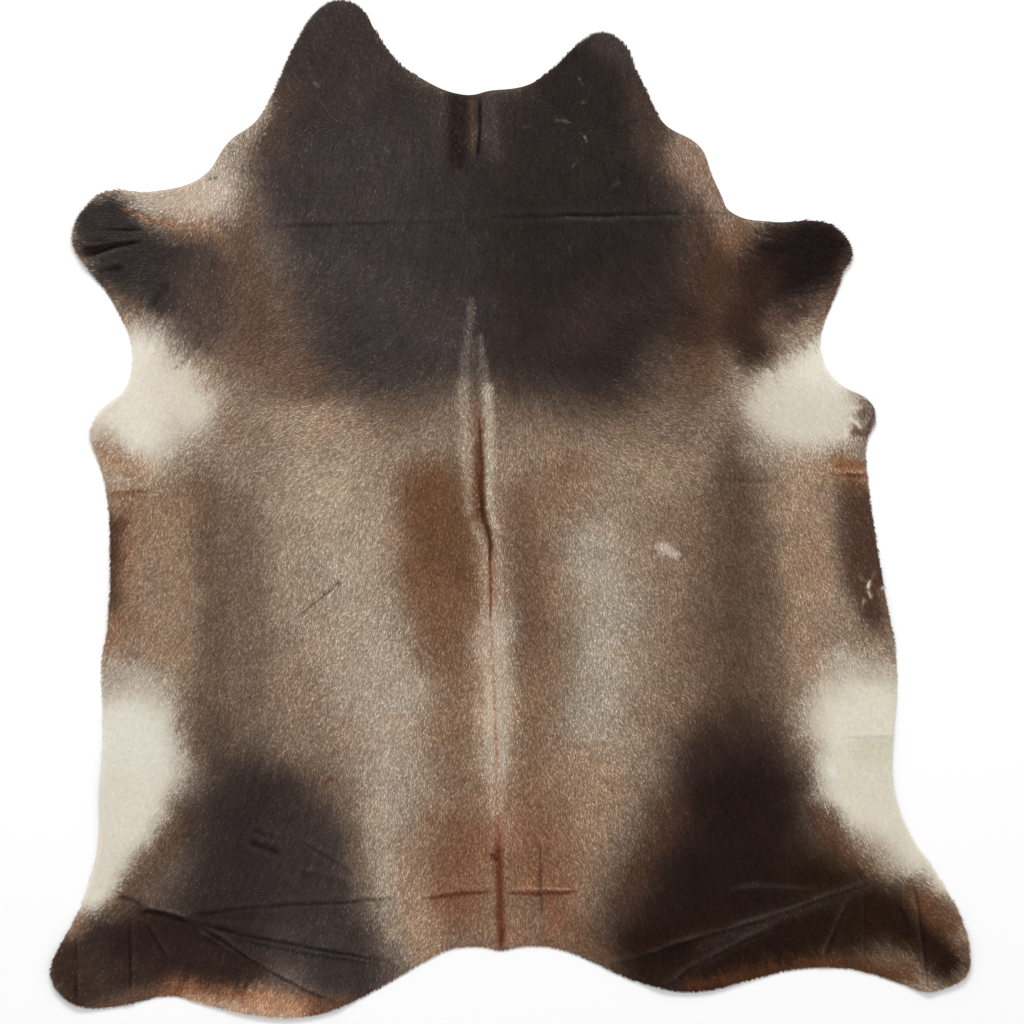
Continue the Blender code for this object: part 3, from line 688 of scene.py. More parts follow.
# %% Scars and bare spots
# name, course, reach at its start and its end, how firm, tone, cover
SCARS = mark_table(
    "scars",
    ("right armpit, dark under the scar", ((736.6, 170.6), (753.8, 166.3), (769, 162)),
     9.7, 7.8, 1.3, "583c30", 0.7),
    ("right armpit, dark above the scar", ((751.7, 198.7), (764.6, 205.2), (773.3, 211.7)),
     6.5, 9.7, 1.3, "58483a", 0.7),
    ("right armpit scar", ((729, 200.9), (738.7, 191.2), (749.5, 183.6), (761.4, 175)),
     3, 1.9, 1.3, "e4dac8", 0.95),
    ("right armpit scar, branch", ((726.8, 177.1), (724.7, 166.3), (725.8, 153.4)),
     5.2, 3.5, 1.25, "ddd2be", 0.95),
    ("right armpit scar, patch", ((727.9, 217.1), (756, 220.3)), 4.3, 3.5, 1.3, "d9d2c4", 0.7),
    ("right armpit scar, loop", ((749.5, 155.5), (756, 152.3), (760.3, 146.9)),
     2.2, 1.7, 1.2, "cbb8a8", 0.8),
    ("right armpit, bare spot", ((758.2, 237.6), (767.9, 236.5)), 3.9, 3.5, 1.2, "8a6a5c", 0.6),
    ("right armpit, dark rim", ((771.1, 241.9), (785.2, 220.3), (785.2, 200.9), (774.4, 175),
     (769, 149)),
     3, 3.9, 1.2, "3d312b", 0.65),
    ("right flank, dark edge", ((784.1, -92.9), (796, -123.1), (803.5, -149), (803.5, -168.5)),
     5.6, 5.6, 1.2, "3d302a", 0.45),
    ("flank scar", ((778.9, -153.4), (775.2, -162), (773.3, -173.9)),
     1.7, 3.9, 1.3, "ddd3c4", 0.95),
    ("flank scar, tail", ((774.6, -177.1), (777.2, -192.2)), 2.2, 1.5, 1.3, "d6cab8", 0.9),
    ("flank scar, upper hair", ((789.5, -129.6), (786.2, -140.4), (778.7, -153.4)),
     1.5, 1.5, 1.3, "8a7b6b", 0.6),
    ("flank scar, fan", ((751.7, -140.4), (760.3, -151.2), (771.1, -159.8)),
     4.8, 2.6, 1.2, "7d7260", 0.5),
    ("flank scar, low", ((764.6, -194.4), (761, -207.4)), 1.9, 1.9, 1.2, "b9a793", 0.75),
    ("flank scar, edge", ((808.9, -166.3), (798.1, -176)), 2.2, 1.7, 1.2, "ded8cc", 0.85),
    ("flank scar, end", ((784.1, -187.9), (807.8, -179.3)), 1.5, 1.5, 1.3, "74644f", 0.5),
)

# %% Flecks and scratches
# name, course, reach at its start and its end, how firm, tone, cover
FLECKS = mark_table(
    "flecks and scratches",
    ("neck fleck, first", ((95, 838.1), (112.3, 841.3), (133.9, 831.6)),
     1.9, 1.7, 1.2, "6f6058", 0.7),
    ("neck fleck, second", ((159.8, 805.7), (167.4, 793.8)), 2.4, 2.2, 1.2, "85766b", 0.8),
    ("neck fleck, third", ((151.2, 875.9), (162, 878)), 2.2, 1.9, 1.2, "7a6c62", 0.7),
    ("neck fleck, fourth", ((28.1, 821.9), (47.5, 827.3)), 1.9, 1.7, 1.2, "66584f", 0.6),
    ("neck fleck, fifth", ((220.3, 697.7), (237.6, 706.3)), 1.9, 1.7, 1.2, "6a5c52", 0.6),
    ("neck fleck, sixth", ((133.9, 736.6), (142.6, 747.4)), 1.9, 1.7, 1.2, "70625a", 0.6),
    ("neck fleck, seventh", ((146.9, 935.3), (157.7, 913.7)), 1.9, 1.7, 1.3, "6f655e", 0.55),
    ("neck fleck, eighth", ((127.4, 568.1), (131.8, 546.5)), 1.9, 1.5, 1.3, "645a55", 0.45),
    ("neck fleck, ninth", ((-427.7, 922.3), (-410.4, 909.4)), 2.4, 1.7, 1.3, "7d736b", 0.55),
    ("neck fleck, tenth", ((-328.3, 885.6), (-322.9, 870.5)), 1.9, 1.5, 1.3, "6c625c", 0.5),
    ("neck fleck, eleventh", ((-272.2, 781.9), (-259.2, 769)), 2.2, 1.7, 1.3, "6a5f5a", 0.5),
    ("neck fleck, twelfth", ((-341.3, 801.4), (-332.6, 786.2)), 1.9, 1.5, 1.3, "665a52", 0.5),
    ("neck fleck, last", ((-283, 455.8), (-270, 442.8)), 1.9, 1.5, 1.3, "6e6560", 0.5),
    ("back scratch", ((-460.1, -241.9), (-447.1, -222.5), (-414.7, -198.7), (-382.3, -170.6),
     (-369.4, -159.8)),
     1.7, 2.8, 1.4, "665242", 0.8),
    ("back scratch, end", ((-373.7, -156.6), (-367.2, -166.3)), 4.8, 3.9, 1.4, "54453a", 0.7),
    ("loin scratch", ((-403.9, -591.8), (-386.6, -584.3), (-367.2, -582.1)),
     3.2, 1.9, 1.4, "6a3c2e", 0.85),
    # painted shade: a faint cool grey streak of shade in the cream of the right belly
    ("right belly, bluish streak", ((730.1, -419), (731.2, -499), (732.2, -591.8)),
     2.2, 1.7, 1.6, "c6ccca", 0.35),
    ("right belly, white spot", ((691.2, -550.8), (702, -585.4)), 10.8, 8.6, 1.8, "e4e7ea", 0.35),
)
FINE_MARKS = PARTINGS + RUST_LINES + FOOT_LINES + SCARS + FLECKS

# %% Lay marks on the coat
WAVER, WAVER_LUMPS = 0.0012, 0.021  # how far a crisp mark strays, and in how long waves
MARK_ENDS = 3.0  # nothing of a mark is left this many reaches from its course
THIN_ENDS = 0.12  # share of its length over which it fades at either end
THINNEST = 0.15
UNEVEN_HAIRS = (0.55, 1.45)  # how much of a mark single hairs take


def near(course, margin, x, y):
    """The numbers of the places close to a course."""
    left, bottom = course.min(axis=0) - margin
    right, top = course.max(axis=0) + margin
    return np.flatnonzero((x > left) & (x < right) & (y > bottom) & (y < top))


def wavered(x, y):
    """The same places moved a little to and fro, so that a straight course wavers there."""
    return (x + WAVER * soft_noise(x, y, WAVER_LUMPS, 8),
            y + WAVER * soft_noise(x, y, WAVER_LUMPS, 9))


def add_marks(marks, colour, x, y, fade=0.0, draw=None):
    """Lays marks on the colours of the places near them. With a fade they thin at the ends;
    with a random source each place takes more or less of the mark."""
    for mark in marks:
        here = near(mark.course, MARK_ENDS * max(mark.reach, mark.reach_end), x, y)
        part = covering(mark, x[here], y[here])
        if fade:
            _, share, _ = off_course(mark.course, x[here], y[here])
            part = part * np.clip(np.minimum(share, 1 - share) / fade, THINNEST, 1.0)
        if draw:
            part = np.clip(part * draw.uniform(*UNEVEN_HAIRS, part.shape), 0.0, 1.0)
        colour[here] += (tone_of(mark.tone) - colour[here]) * part[:, None]
    return colour


spot = np.array([-0.045]), np.array([0.15])
print("beside the groove the coat is", at(coat_grid, *spot)[0].round(2), "and with its mark",
      add_marks(HAIR_MARKS, at(coat_grid, *spot), *spot)[0].round(2))

# %% [markdown]
# ## From screen colour to pigment
# The patches were judged on a screen, but a renderer wants the share of light that the
# hair sends back. Screen colours are first made linear. Then a gain makes up for the light that
# is lost between the hairs, and a small amount is taken off, because the gloss of the hair
# adds about that much to everything, which matters most in the black.

# %% Turn screen colours into pigment
GAIN = 1.16
PALE_GAIN = 1.00
GLOSS = np.array([0.0062, 0.0050, 0.0042])
DARKEST = 0.0008
LIGHTEST = 0.92
EYE = np.array([0.2126, 0.7152, 0.0722])  # how bright red, green and blue look
TAUPE_TO_CREAM = (0.60, 0.80)


def paleness(colour):
    """1 in the cream, 0 in the taupe and darker. Pale hair lights up its own shade."""
    return ramp(colour @ EYE, *TAUPE_TO_CREAM)


def pigment(colour):
    """The share of red, green and blue light that the hair sends back."""
    linear = np.where(colour <= 0.04045, colour / 12.92, ((colour + 0.055) / 1.055) ** 2.4)
    gain = GAIN + (PALE_GAIN - GAIN) * paleness(colour)[:, None]
    return np.clip(gain * (linear - GLOSS), DARKEST, LIGHTEST)


print("pigment of the ground tone:", pigment(tone_of(GROUND_TONE)[None, :])[0].round(3))

# %% [markdown]
# ## Fine creases in the skin
# The broad folds are already in the solid. The sharp creases are narrower than its triangles:
# there the skin dips by a millimetre or two along a line, with a low rounded lip beside it.
# They come from the hide having been folded, so each has its own depth and width, and none is
# straight. Sleek hair shows a crease more than its depth tells, so the colour of the hair carries
# painted shade and painted highlights: it is painted darker in the dip, and painted lighter where
# the lip bends to the light. The last three columns say how much painted shade darkens the dip and
# how much painted highlight lightens the lips to the left and right of the course.

# %% Creases and their columns
Crease = namedtuple("Crease", "name course deep lip half_width darker left right")


def crease_table(part, *rows):
    """Creases from rows whose sizes, up to the half width, are in mm."""
    print(f"{part}: {len(rows)} creases")
    return [Crease(name, np.array(course) * MM, deep * MM, lip * MM, half_width * MM, *looks)
            for name, course, deep, lip, half_width, *looks in rows]


# %% Creases of the neck, the shoulders and the back
# name, course, deep, lip, half width, darker (painted shade), lighter left, lighter right (painted
# highlight)
FRONT_CREASES = crease_table(
    "neck, shoulders and back",
    ("neck parting", ((-79.9, 892.1), (-81, 818.6), (-82.1, 756)), 1.1, 0.4, 5, 0, 0, 0),
    ("shoulder crease, right", ((-56.2, 630.7), (4.3, 629.6), (75.6, 631.4), (138.2, 634.4)),
     0.6, 0.8, 3.4, 0.16, 0, 0.1),
    ("shoulder crease, right, deep", ((99.4, 632.9), (140.4, 635), (185.8, 633.7), (220.3, 634.6),
     (250.6, 636.3)),
     1.2, 1, 3.4, 0.5, 0.12, 0.6),
    ("shoulder crease, right, thin", ((241.9, 635.9), (293.8, 635), (341.3, 637.2), (371.5, 636.3)),
     0.9, 0.7, 2.6, 0.38, 0, 0.45),
    ("shoulder crease, right, end", ((388.8, 637.2), (436.3, 639.4), (492.5, 638.1)),
     0.5, 0.4, 2.8, 0.2, 0, 0.1),
    ("shoulder crease, left", ((-574.6, 611.3), (-453.6, 611.3), (-237.6, 616.7), (-73.4, 624.2)),
     0.6, 0.5, 4, 0.16, 0, 0.08),
    ("mane groove", ((-67, 149), (-64.8, 95), (-61.6, 19.4), (-56.2, -19.4), (-45.4, -51.8)),
     2.2, 1.2, 6, 0, 0, 0),
    ("back line", ((-45.4, -51.8), (-41, -88.6), (-42.1, -142.6), (-41, -239.8)),
     1.4, 0.8, 3.5, 0, 0, 0),
    ("loin line", ((-41, -239.8), (-34.6, -391), (-30.2, -542.2), (-25.9, -680.4)),
     0.7, 0.6, 4, 0, 0, 0),
    ("tail line", ((-25.9, -680.4), (-23.8, -740.9), (-23.8, -823), (-21.6, -920.2),
     (-17.3, -952.6)),
     1.6, 0.8, 5.5, 0, 0, 0),
)

# %% Creases of the tail and of the left hind quarter
# name, course, deep, lip, half width, darker (painted shade), lighter left, lighter right (painted
# highlight)
LEFT_CREASES = crease_table(
    "tail and left hind quarter",
    ("tail crease, left", ((-183.6, -841.3), (-131.8, -835.1), (-92.9, -830.3), (-38.9, -826)),
     1.2, 0.8, 4.5, 0.2, 0, 0),
    ("tail crease, right", ((-13, -827.3), (34.6, -829), (77.8, -829), (125.3, -825.6),
     (151.2, -820.8)),
     1.4, 1, 4, 0.25, 0.2, 0),
    ("tail, upright crease", ((66.3, -719.3), (65.4, -801.4), (67, -885.6)),
     0.6, 0.5, 3, 0.35, 0, 0),
    ("left fan, upper", ((-697.7, -879.1), (-624.2, -870.5), (-561.6, -861.8), (-475.2, -854.5),
     (-378, -852.1), (-302.4, -843.7), (-237.6, -840.2)),
     1.1, 0.8, 3.4, 0.4, 0, 0.2),
    ("left fan, long", ((-699.8, -886.7), (-624.2, -906.6), (-574.6, -921.5), (-524.9, -929.9),
     (-475.2, -938.7), (-401.8, -953.6), (-328.3, -966.2), (-254.9, -977.4)),
     1.3, 1, 3.4, 0.5, 0, 0.3),
    ("left fan, long, low side", ((-604.8, -925.6), (-524.9, -942.8), (-401.8, -966.6),
     (-270, -987.1)),
     0.5, 0.3, 3, 0.35, 0, 0),
    ("left fan, short", ((-693.4, -892.1), (-665.3, -904.2), (-624.2, -926.6), (-585.4, -956.2),
     (-550.8, -978.5), (-524.9, -993.6), (-496.8, -1010.9), (-451.4, -1035.5), (-362.9, -1070.3)),
     1.4, 1.1, 3.2, 0.5, 0.4, 0),
    ("left fan, wedge", ((-663.1, -915.8), (-615.6, -946.1), (-570.2, -974.2)),
     0.6, 0.4, 4.8, 0.35, 0, 0),
    ("left hub", ((-792.7, -860.8), (-760.3, -868.3), (-730.1, -874.8), (-691.2, -888.8)),
     1.8, 1, 4.6, 0.3, 0.4, 0),
    ("left hub, upper", ((-846.7, -835.9), (-818.6, -841.3), (-792.7, -856.4)),
     1.2, 0.8, 4.5, 0.45, 0.15, 0),
    ("left leg, outer", ((-937.4, -911.5), (-935.3, -985), (-935.3, -1062.7)),
     1.2, 0.9, 3, 0.4, 0.35, 0),
    ("left leg, inner", ((-821.7, -881.3), (-820.8, -952.6), (-818.6, -1060.6)),
     1.3, 0.9, 3, 0.45, 0.3, 0),
    ("left leg, diagonal", ((-788.4, -892.1), (-760.3, -939.6), (-736.6, -976.3)),
     1.1, 0.8, 3.5, 0.4, 0.2, 0),
    ("left rump wrinkle, first", ((-555.1, -692.3), (-535.7, -700.9), (-509.8, -708.5)),
     0.9, 0.6, 4.6, 0.35, 0, 0.1),
    ("left rump wrinkle, second", ((-568.1, -717.1), (-544.3, -725.8), (-516.2, -736.6),
     (-490.3, -748.4)),
     1.1, 0.8, 5.2, 0.45, 0, 0.14),
    ("left rump wrinkle, third", ((-453.6, -715), (-414.7, -738.7), (-375.8, -762.5),
     (-334.8, -792.7)),
     0.8, 0.8, 5, 0.25, 0.25, 0.2),
    ("left rump wrinkle, last", ((-457.9, -781.9), (-399.6, -794.9), (-345.6, -812.2)),
     0.8, 0.8, 5, 0.2, 0.25, 0),
)

# %% Creases of the right hind quarter
# name, course, deep, lip, half width, darker (painted shade), lighter left, lighter right (painted
# highlight)
RIGHT_CREASES = crease_table(
    "right hind quarter",
    ("right fan, main", ((216, -987.1), (280.8, -967.7), (334.8, -951.5), (388.8, -933.1),
     (440.6, -918), (494.6, -902.9), (548.6, -886.7), (602.6, -868.3), (645.8, -852.1),
     (732.2, -823), (779.8, -803.5)),
     1.3, 1, 3.8, 0.35, 0.7, 0),
    ("right fan, above the main", ((548.6, -872.6), (602.6, -855.4), (658.8, -840.2)),
     0.6, 0.5, 3, 0.4, 0, 0),
    ("right fan, low", ((324, -1036.8), (360.7, -1017.4), (388.8, -993.6), (440.6, -967.7),
     (494.6, -937.4), (548.6, -913.7), (587.5, -898.6)),
     1.2, 1, 4.2, 0.3, 0.5, 0),
    ("right fan, upper", ((473, -830.5), (540, -823), (604.8, -824), (661, -829.4)),
     0.7, 0.7, 4.8, 0.1, 0.5, 0),
    ("right leg, slant", ((736.6, -842.4), (708.5, -898.6), (678.2, -974.2)),
     1, 0.8, 3.6, 0.45, 0, 0.35),
    ("right leg, inner", ((766.8, -831.6), (766.8, -909.4), (764.6, -982.8)),
     0.5, 0.5, 3, 0.15, 0, 0.2),
    ("right leg, outer", ((870.5, -805.7), (884.7, -870.5), (893.2, -935.3), (902.9, -1039)),
     1.2, 0.9, 3, 0.45, 0, 0.5),
    ("right leg, bow", ((833.8, -848.9), (851, -874.8), (866.2, -909.4)),
     0.8, 0.7, 4, 0.35, 0.15, 0),
)

# %% Creases of the feet and the flanks
# name, course, deep, lip, half width, darker (painted shade), lighter left, lighter right (painted
# highlight)
SMALL_CREASES = crease_table(
    "feet and flanks",
    ("left foot pleat, upper", ((-790.6, 581), (-840.2, 574.6), (-889.9, 565.9), (-933.1, 563.8)),
     1.8, 0.8, 3, 0.4, 0, 0.2),
    ("left foot pleat, lower", ((-790.6, 580), (-857.5, 562.7), (-922.3, 540)),
     1.6, 1, 3, 0.4, 0.3, 0),
    ("left foot line", ((-881.3, 602.6), (-838.1, 602.6), (-790.6, 601.6)),
     0.9, 0.6, 2.4, 0.45, 0, 0.2),
    ("left foot dents", ((-833.8, 521.6), (-864, 516.2), (-896.4, 511.9)), 1.2, 1, 5, 0.5, 0, 0),
    ("left elbow dent", ((-732.2, 492.5), (-749.5, 473), (-764.6, 451.4), (-779.8, 423.4)),
     1.2, 0.8, 11.5, 0.3, 0, 0),
    ("left flank crease", ((-868.3, 29.2), (-831.6, 33.5), (-784.1, 38.9)),
     0.8, 0.7, 4, 0.15, 0, 0),
    ("right flank crease", ((723.6, 75.6), (747.4, 73.4), (773.3, 72.1)), 1, 0.8, 3, 0.3, 0.2, 0),
    ("right shoulder, soft crease", ((419, 69.1), (475.2, 63.7), (522.7, 60.5), (565.9, 62.6)),
     0.6, 0.4, 5, 0.16, 0, 0),
    ("right belly crease", ((712.8, -494.6), (827.3, -494.6)), 0.6, 0.6, 4, 0.05, 0, 0),
)
CREASES = FRONT_CREASES + LEFT_CREASES + RIGHT_CREASES + SMALL_CREASES

# %% How a crease bends and shades the coat
LIP_AT = 1.9  # half widths from the middle of the crease
SHINE = np.array([0.145, 0.140, 0.150])  # painted highlight: the most that a lip is lighter, as screen colour
WIDTH_VARIES, WIDTH_LUMPS = 0.3, 0.035
DEPTH_MEAN, DEPTH_VARIES, DEPTH_LUMPS = 0.78, 0.32, 0.028
RUN_OUT, RUN_OUT_CURVE = 0.18, 0.7  # share of its length over which a crease ends, and how
CREASE_ENDS = 5  # nothing of a crease is left this many half widths from its course


def crease_parts(crease, x, y):
    """The places near a crease, and how much of its dip and of its two lips they have."""
    here = near(crease.course, CREASE_ENDS * crease.half_width, x, y)
    off, share, side = off_course(crease.course, *wavered(x[here], y[here]))
    off = off / crease.half_width
    off = off / (1.0 + WIDTH_VARIES * soft_noise(x[here], y[here], WIDTH_LUMPS, 7))
    ends = ramp(np.minimum(share, 1 - share), 0.0, RUN_OUT) ** RUN_OUT_CURVE
    deep = DEPTH_MEAN + DEPTH_VARIES * soft_noise(x[here], y[here], DEPTH_LUMPS, 11)
    uneven = ends * deep
    dip = uneven * np.exp2(-off**2)
    lip = uneven * np.exp2(-(off - LIP_AT) ** 2)
    return here, dip, lip * (side > 0), lip * (side <= 0)


def crease_relief(x, y):
    """How far the skin dips at a crease, below 0, or rises at its lip."""
    relief = np.zeros(x.shape)
    for crease in CREASES:
        here, dip, left, right = crease_parts(crease, x, y)
        relief[here] += crease.lip * (left + right) - crease.deep * dip
    return relief


def shade_creases(colour, x, y):
    """Paints shade into the dips of the creases and highlights onto their lips."""
    for crease in CREASES:
        if crease.darker or crease.left or crease.right:
            here, dip, left, right = crease_parts(crease, x, y)
            shine = (crease.left * left + crease.right * right)[:, None] * SHINE
            colour[here] *= 1.0 - crease.darker * dip[:, None]
            colour[here] = np.minimum(colour[here] + shine, 1.0)
    return colour


def fine_coat(colour, x, y):
    """Adds all that is crisper than a tuft of hair to colours of the coat, with the painted shade
    and painted highlights of the creases.
    """
    colour = add_marks(FINE_MARKS, colour, *wavered(x, y), fade=THIN_ENDS)
    return shade_creases(colour, x, y)


print("deepest crease:", max(CREASES, key=lambda crease: crease.deep).name)

# %% [markdown]
# ## The skin
# Tanned hide is a sheet of leather about 2 mm thick. Here it is a closed mesh: an upper surface
# that carries the hair, the same surface again below it, and a cut edge between them. A
# triangulation of scattered points suits an outline like this better than a grid, because its
# points can sit exactly on the cut edge and close together at the creases.

# %% Points along the creases
CREASE_STEP = 0.006  # from row to row
CREASE_ROWS = (-2.8, -1.6, -0.7, 0.0, 0.7, 1.6, 2.8)  # half widths to the side
CREASE_CELL = 0.0028  # two points of one such cell would make slivers, so one is left out
EDGE_CLEAR = 0.007  # no crease point is nearer to the outline


def crease_places():
    """Rows of places on every crease and to both sides of it."""
    rows = []
    for crease in CREASES:
        for start, end in zip(crease.course[:-1], crease.course[1:]):
            run = np.linalg.norm(end - start)
            ahead = (end - start) / run
            aside = np.array([-ahead[1], ahead[0]])
            for way in np.arange(0.0, run, CREASE_STEP):
                for side in CREASE_ROWS:
                    rows.append(start + way * ahead + side * crease.half_width * aside)
    return np.array(rows)


def cells_of(places, size):
    """One number for the small square cell in which each place lies."""
    return np.floor(places / size).astype(int) @ np.array([1, 100003])


rows = crease_places()
rows = rows[at(gap_grid, rows[:, 0], rows[:, 1]) > EDGE_CLEAR]
_, kept = np.unique(cells_of(rows, CREASE_CELL), return_index=True)
rows = rows[np.sort(kept)]
print("points along the creases:", len(rows))

# %% Points on the cut edge and over the field
OVERHANG = 0.0020  # the cut edge lies this far inside the outline, under the hair
EDGE_UNEVEN, EDGE_LUMPS = 0.0006, 0.022
SKIN_STEP, SKIN_JITTER = 0.0098, 0.12
FIELD_CLEAR = 0.45  # steps from the cut edge to the nearest field point
FIELD_CELL = 0.0075  # no field point in such a cell that has crease points
TRIANGLE_ROW = math.sqrt(0.75)


def moved_in(ring, distance):
    """The ring with each point moved towards the inside."""
    run = np.roll(ring, -1, axis=0) - np.roll(ring, 1, axis=0)
    aside = np.column_stack([-run[:, 1], run[:, 0]])
    aside /= np.linalg.norm(aside, axis=1)[:, None]
    tried = ring[:1] + 1e-3 * aside[:1]
    turn = 1.0 if inside(tried[:, 0], tried[:, 1], ring)[0] else -1.0
    return ring + turn * np.reshape(distance, (-1, 1)) * aside


def lattice(step, seed, jitter):
    """Places in a triangular lattice over the hide, each moved at random by up to the jitter."""
    draw = np.random.default_rng(seed)
    rows = np.arange(grid_y[0], grid_y[-1], step * TRIANGLE_ROW)
    columns = np.arange(grid_x[0], grid_x[-1], step)
    x, y = np.meshgrid(columns, rows)
    x[1::2] += step / 2
    shift = draw.uniform(-jitter, jitter, (2,) + x.shape) * step
    return (x + shift[0]).ravel(), (y + shift[1]).ravel()


unevenness = EDGE_UNEVEN * soft_noise(outline[:, 0], outline[:, 1], EDGE_LUMPS, 11)
cut_edge = moved_in(outline, OVERHANG + unevenness)
x, y = lattice(SKIN_STEP, 12, SKIN_JITTER)
kept = at(gap_grid, x, y) > OVERHANG + FIELD_CLEAR * SKIN_STEP
field = np.column_stack([x[kept], y[kept]])
field = field[~np.isin(cells_of(field, FIELD_CELL), cells_of(rows, FIELD_CELL))]
skin_places = np.vstack([cut_edge, rows, field])
print("points of the cut edge:", len(cut_edge), "and of the field:", len(field))

# %% Join them into triangles
border = [(i, (i + 1) % len(cut_edge)) for i in range(len(cut_edge))]
found = delaunay_2d_cdt([Vector(place) for place in skin_places.tolist()], border, [], 0, 1e-7)
skin_places = np.array([tuple(place) for place in found[0]])
faces = np.array(found[2])
middles = skin_places[faces].mean(axis=1)
faces = faces[inside(middles[:, 0], middles[:, 1], cut_edge)]
a, b, c = (skin_places[faces[:, i]] for i in range(3))
turned = (b - a)[:, 0] * (c - a)[:, 1] - (b - a)[:, 1] * (c - a)[:, 0] < 0
faces[turned] = faces[turned][:, ::-1]
print("triangles of the upper surface:", len(faces))

# %% Make meshes from arrays
def new_piece(name, points, faces):
    """An object whose mesh has these points and triangles."""
    mesh = bpy.data.meshes.new(name)
    mesh.vertices.add(len(points))
    mesh.vertices.foreach_set("co", points.astype(np.float32).ravel())
    mesh.loops.add(faces.size)
    mesh.loops.foreach_set("vertex_index", faces.astype(np.int32).ravel())
    mesh.polygons.add(len(faces))
    mesh.polygons.foreach_set("loop_start", np.arange(0, faces.size, 3, dtype=np.int32))
    mesh.update(calc_edges=True)
    piece = bpy.data.objects.new(name, mesh)
    bpy.context.scene.collection.objects.link(piece)
    return piece


def give_colour(piece, colour):
    """Stores a pigment for every point, under the name that the materials look for."""
    layer = piece.data.color_attributes.new("coat_colour", "FLOAT_COLOR", "POINT")
    layer.data.foreach_set("color", np.column_stack([colour, np.ones(len(colour))]).ravel())


def give_plan_map(piece):
    """A map seen from straight above, so that one spot of the hide is one spot of the map."""
    mesh = piece.data
    points = np.empty(len(mesh.vertices) * 3)
    mesh.vertices.foreach_get("co", points)
    corners = np.empty(len(mesh.loops), dtype=np.int32)
    mesh.loops.foreach_get("vertex_index", corners)
    place = points.reshape(-1, 3)[corners][:, :2]
    span = max(grid_x[-1] - grid_x[0], grid_y[-1] - grid_y[0])
    uv = (place - (grid_x[0], grid_y[0])) / span
    mesh.uv_layers.new(name="OFBake").data.foreach_set("uv", uv.ravel())


# %% Build the skin as a closed sheet
LEATHER = 0.0022
SHEET_LEFT = 0.9  # a crease never dips deeper than this share of the leather


def skin_height(x, y):
    """The upper side of the leather."""
    return at(ground, x, y) + LEATHER + np.maximum(crease_relief(x, y), -SHEET_LEFT * LEATHER)


x, y = skin_places[:, 0], skin_places[:, 1]
count = len(skin_places)
top_points = np.column_stack([skin_places, skin_height(x, y)])
under_points = np.column_stack([skin_places, at(ground, x, y)])
sides = np.vstack([faces[:, [0, 1]], faces[:, [1, 2]], faces[:, [2, 0]]])
there = sides[:, 0] * count + sides[:, 1]
back = sides[:, 1] * count + sides[:, 0]
rim = sides[~np.isin(back, there)]
rim_faces = np.vstack([np.column_stack([rim[:, 1], rim[:, 0], rim[:, 0] + count]),
                       np.column_stack([rim[:, 1], rim[:, 0] + count, rim[:, 1] + count])])
all_faces = np.vstack([faces, faces[:, ::-1] + count, rim_faces])
skin = new_piece("skin", np.vstack([top_points, under_points]), all_faces)
print("skin:", len(all_faces), "triangles")

# %% Colour the skin and part its two faces
SKIN_SHADE = 0.74  # painted shade: the hair's roots and the skin between them are painted darker, as they lie in shade

roots = fine_coat(add_marks(HAIR_MARKS, at(coat_grid, x, y), x, y), x, y)
shade = SKIN_SHADE + (1.0 - SKIN_SHADE) * paleness(roots)
pigments = shade[:, None] * pigment(roots)
give_colour(skin, np.vstack([pigments, pigments]))
give_plan_map(skin)
smooth = np.arange(len(all_faces)) < 2 * len(faces)  # the cut edge stays sharp
skin.data.polygons.foreach_set("use_smooth", smooth)
slots = (np.arange(len(all_faces)) >= len(faces)).astype(np.int32)  # 0 above, 1 below
skin.data.polygons.foreach_set("material_index", slots)
print("mean pigment of the skin:", pigments.mean(axis=0).round(3))

# %% [markdown]
# ## How the hair lies
# Hair on a hide lies back from the neck to the tail and out from the spine to the flanks, and
# on the legs it runs down to the feet. Along the mane it leans in to the parting. A direction
# for every root, turned a little by soft noise, is enough: no combing by hand is needed.

# %% The lie of the hair
Whorl = namedtuple("Whorl", "name middle reach way")
WHORLS = (
    Whorl("left front leg", (-0.88, 0.60), 0.15, (-1.0, 0.10)),
    Whorl("right front leg", (0.68, 0.56), 0.17, (1.0, 0.05)),
    Whorl("left hind leg", (-0.93, -0.98), 0.22, (-0.9, -0.75)),
    Whorl("right hind leg", (0.92, -0.94), 0.22, (0.9, -0.75)),
    Whorl("left neck point", (-0.36, 1.02), 0.20, (-0.35, 0.9)),
    Whorl("right neck point", (0.20, 0.97), 0.16, (0.15, 0.9)),
    Whorl("left shoulder", (-0.40, 0.28), 0.24, (-0.95, -0.45)),
    Whorl("right shoulder", (0.34, 0.30), 0.22, (0.95, -0.45)),
)
SPINE_X, FLANK_AWAY = -0.045, 0.50
OUTWARD, OUTWARD_LESS = 0.55, 0.30  # how far it turns to the flanks, and less at the withers
WITHERS_FROM, WITHERS_TO = 0.15, 0.50
MANE_MIDDLE, MANE_HALF = (-0.075, 0.22), (0.040, 0.25)
PARTING_X, LEAN, LEAN_OVER = -0.068, 0.55, 0.020  # the mane leans in to its parting
WAVES = ((0.20, 0.085, 21), (0.13, 0.024, 22), (0.15, 0.010, 23))  # turn, lump size and seed
DISORDER = 0.17
DRAWN_OUT = (-2, -1, 0, 1, 2)  # steps along the hair whose noise is added up
DRAWN_OUT_SUM = 2.5  # brings the sum back to about -1 to 1


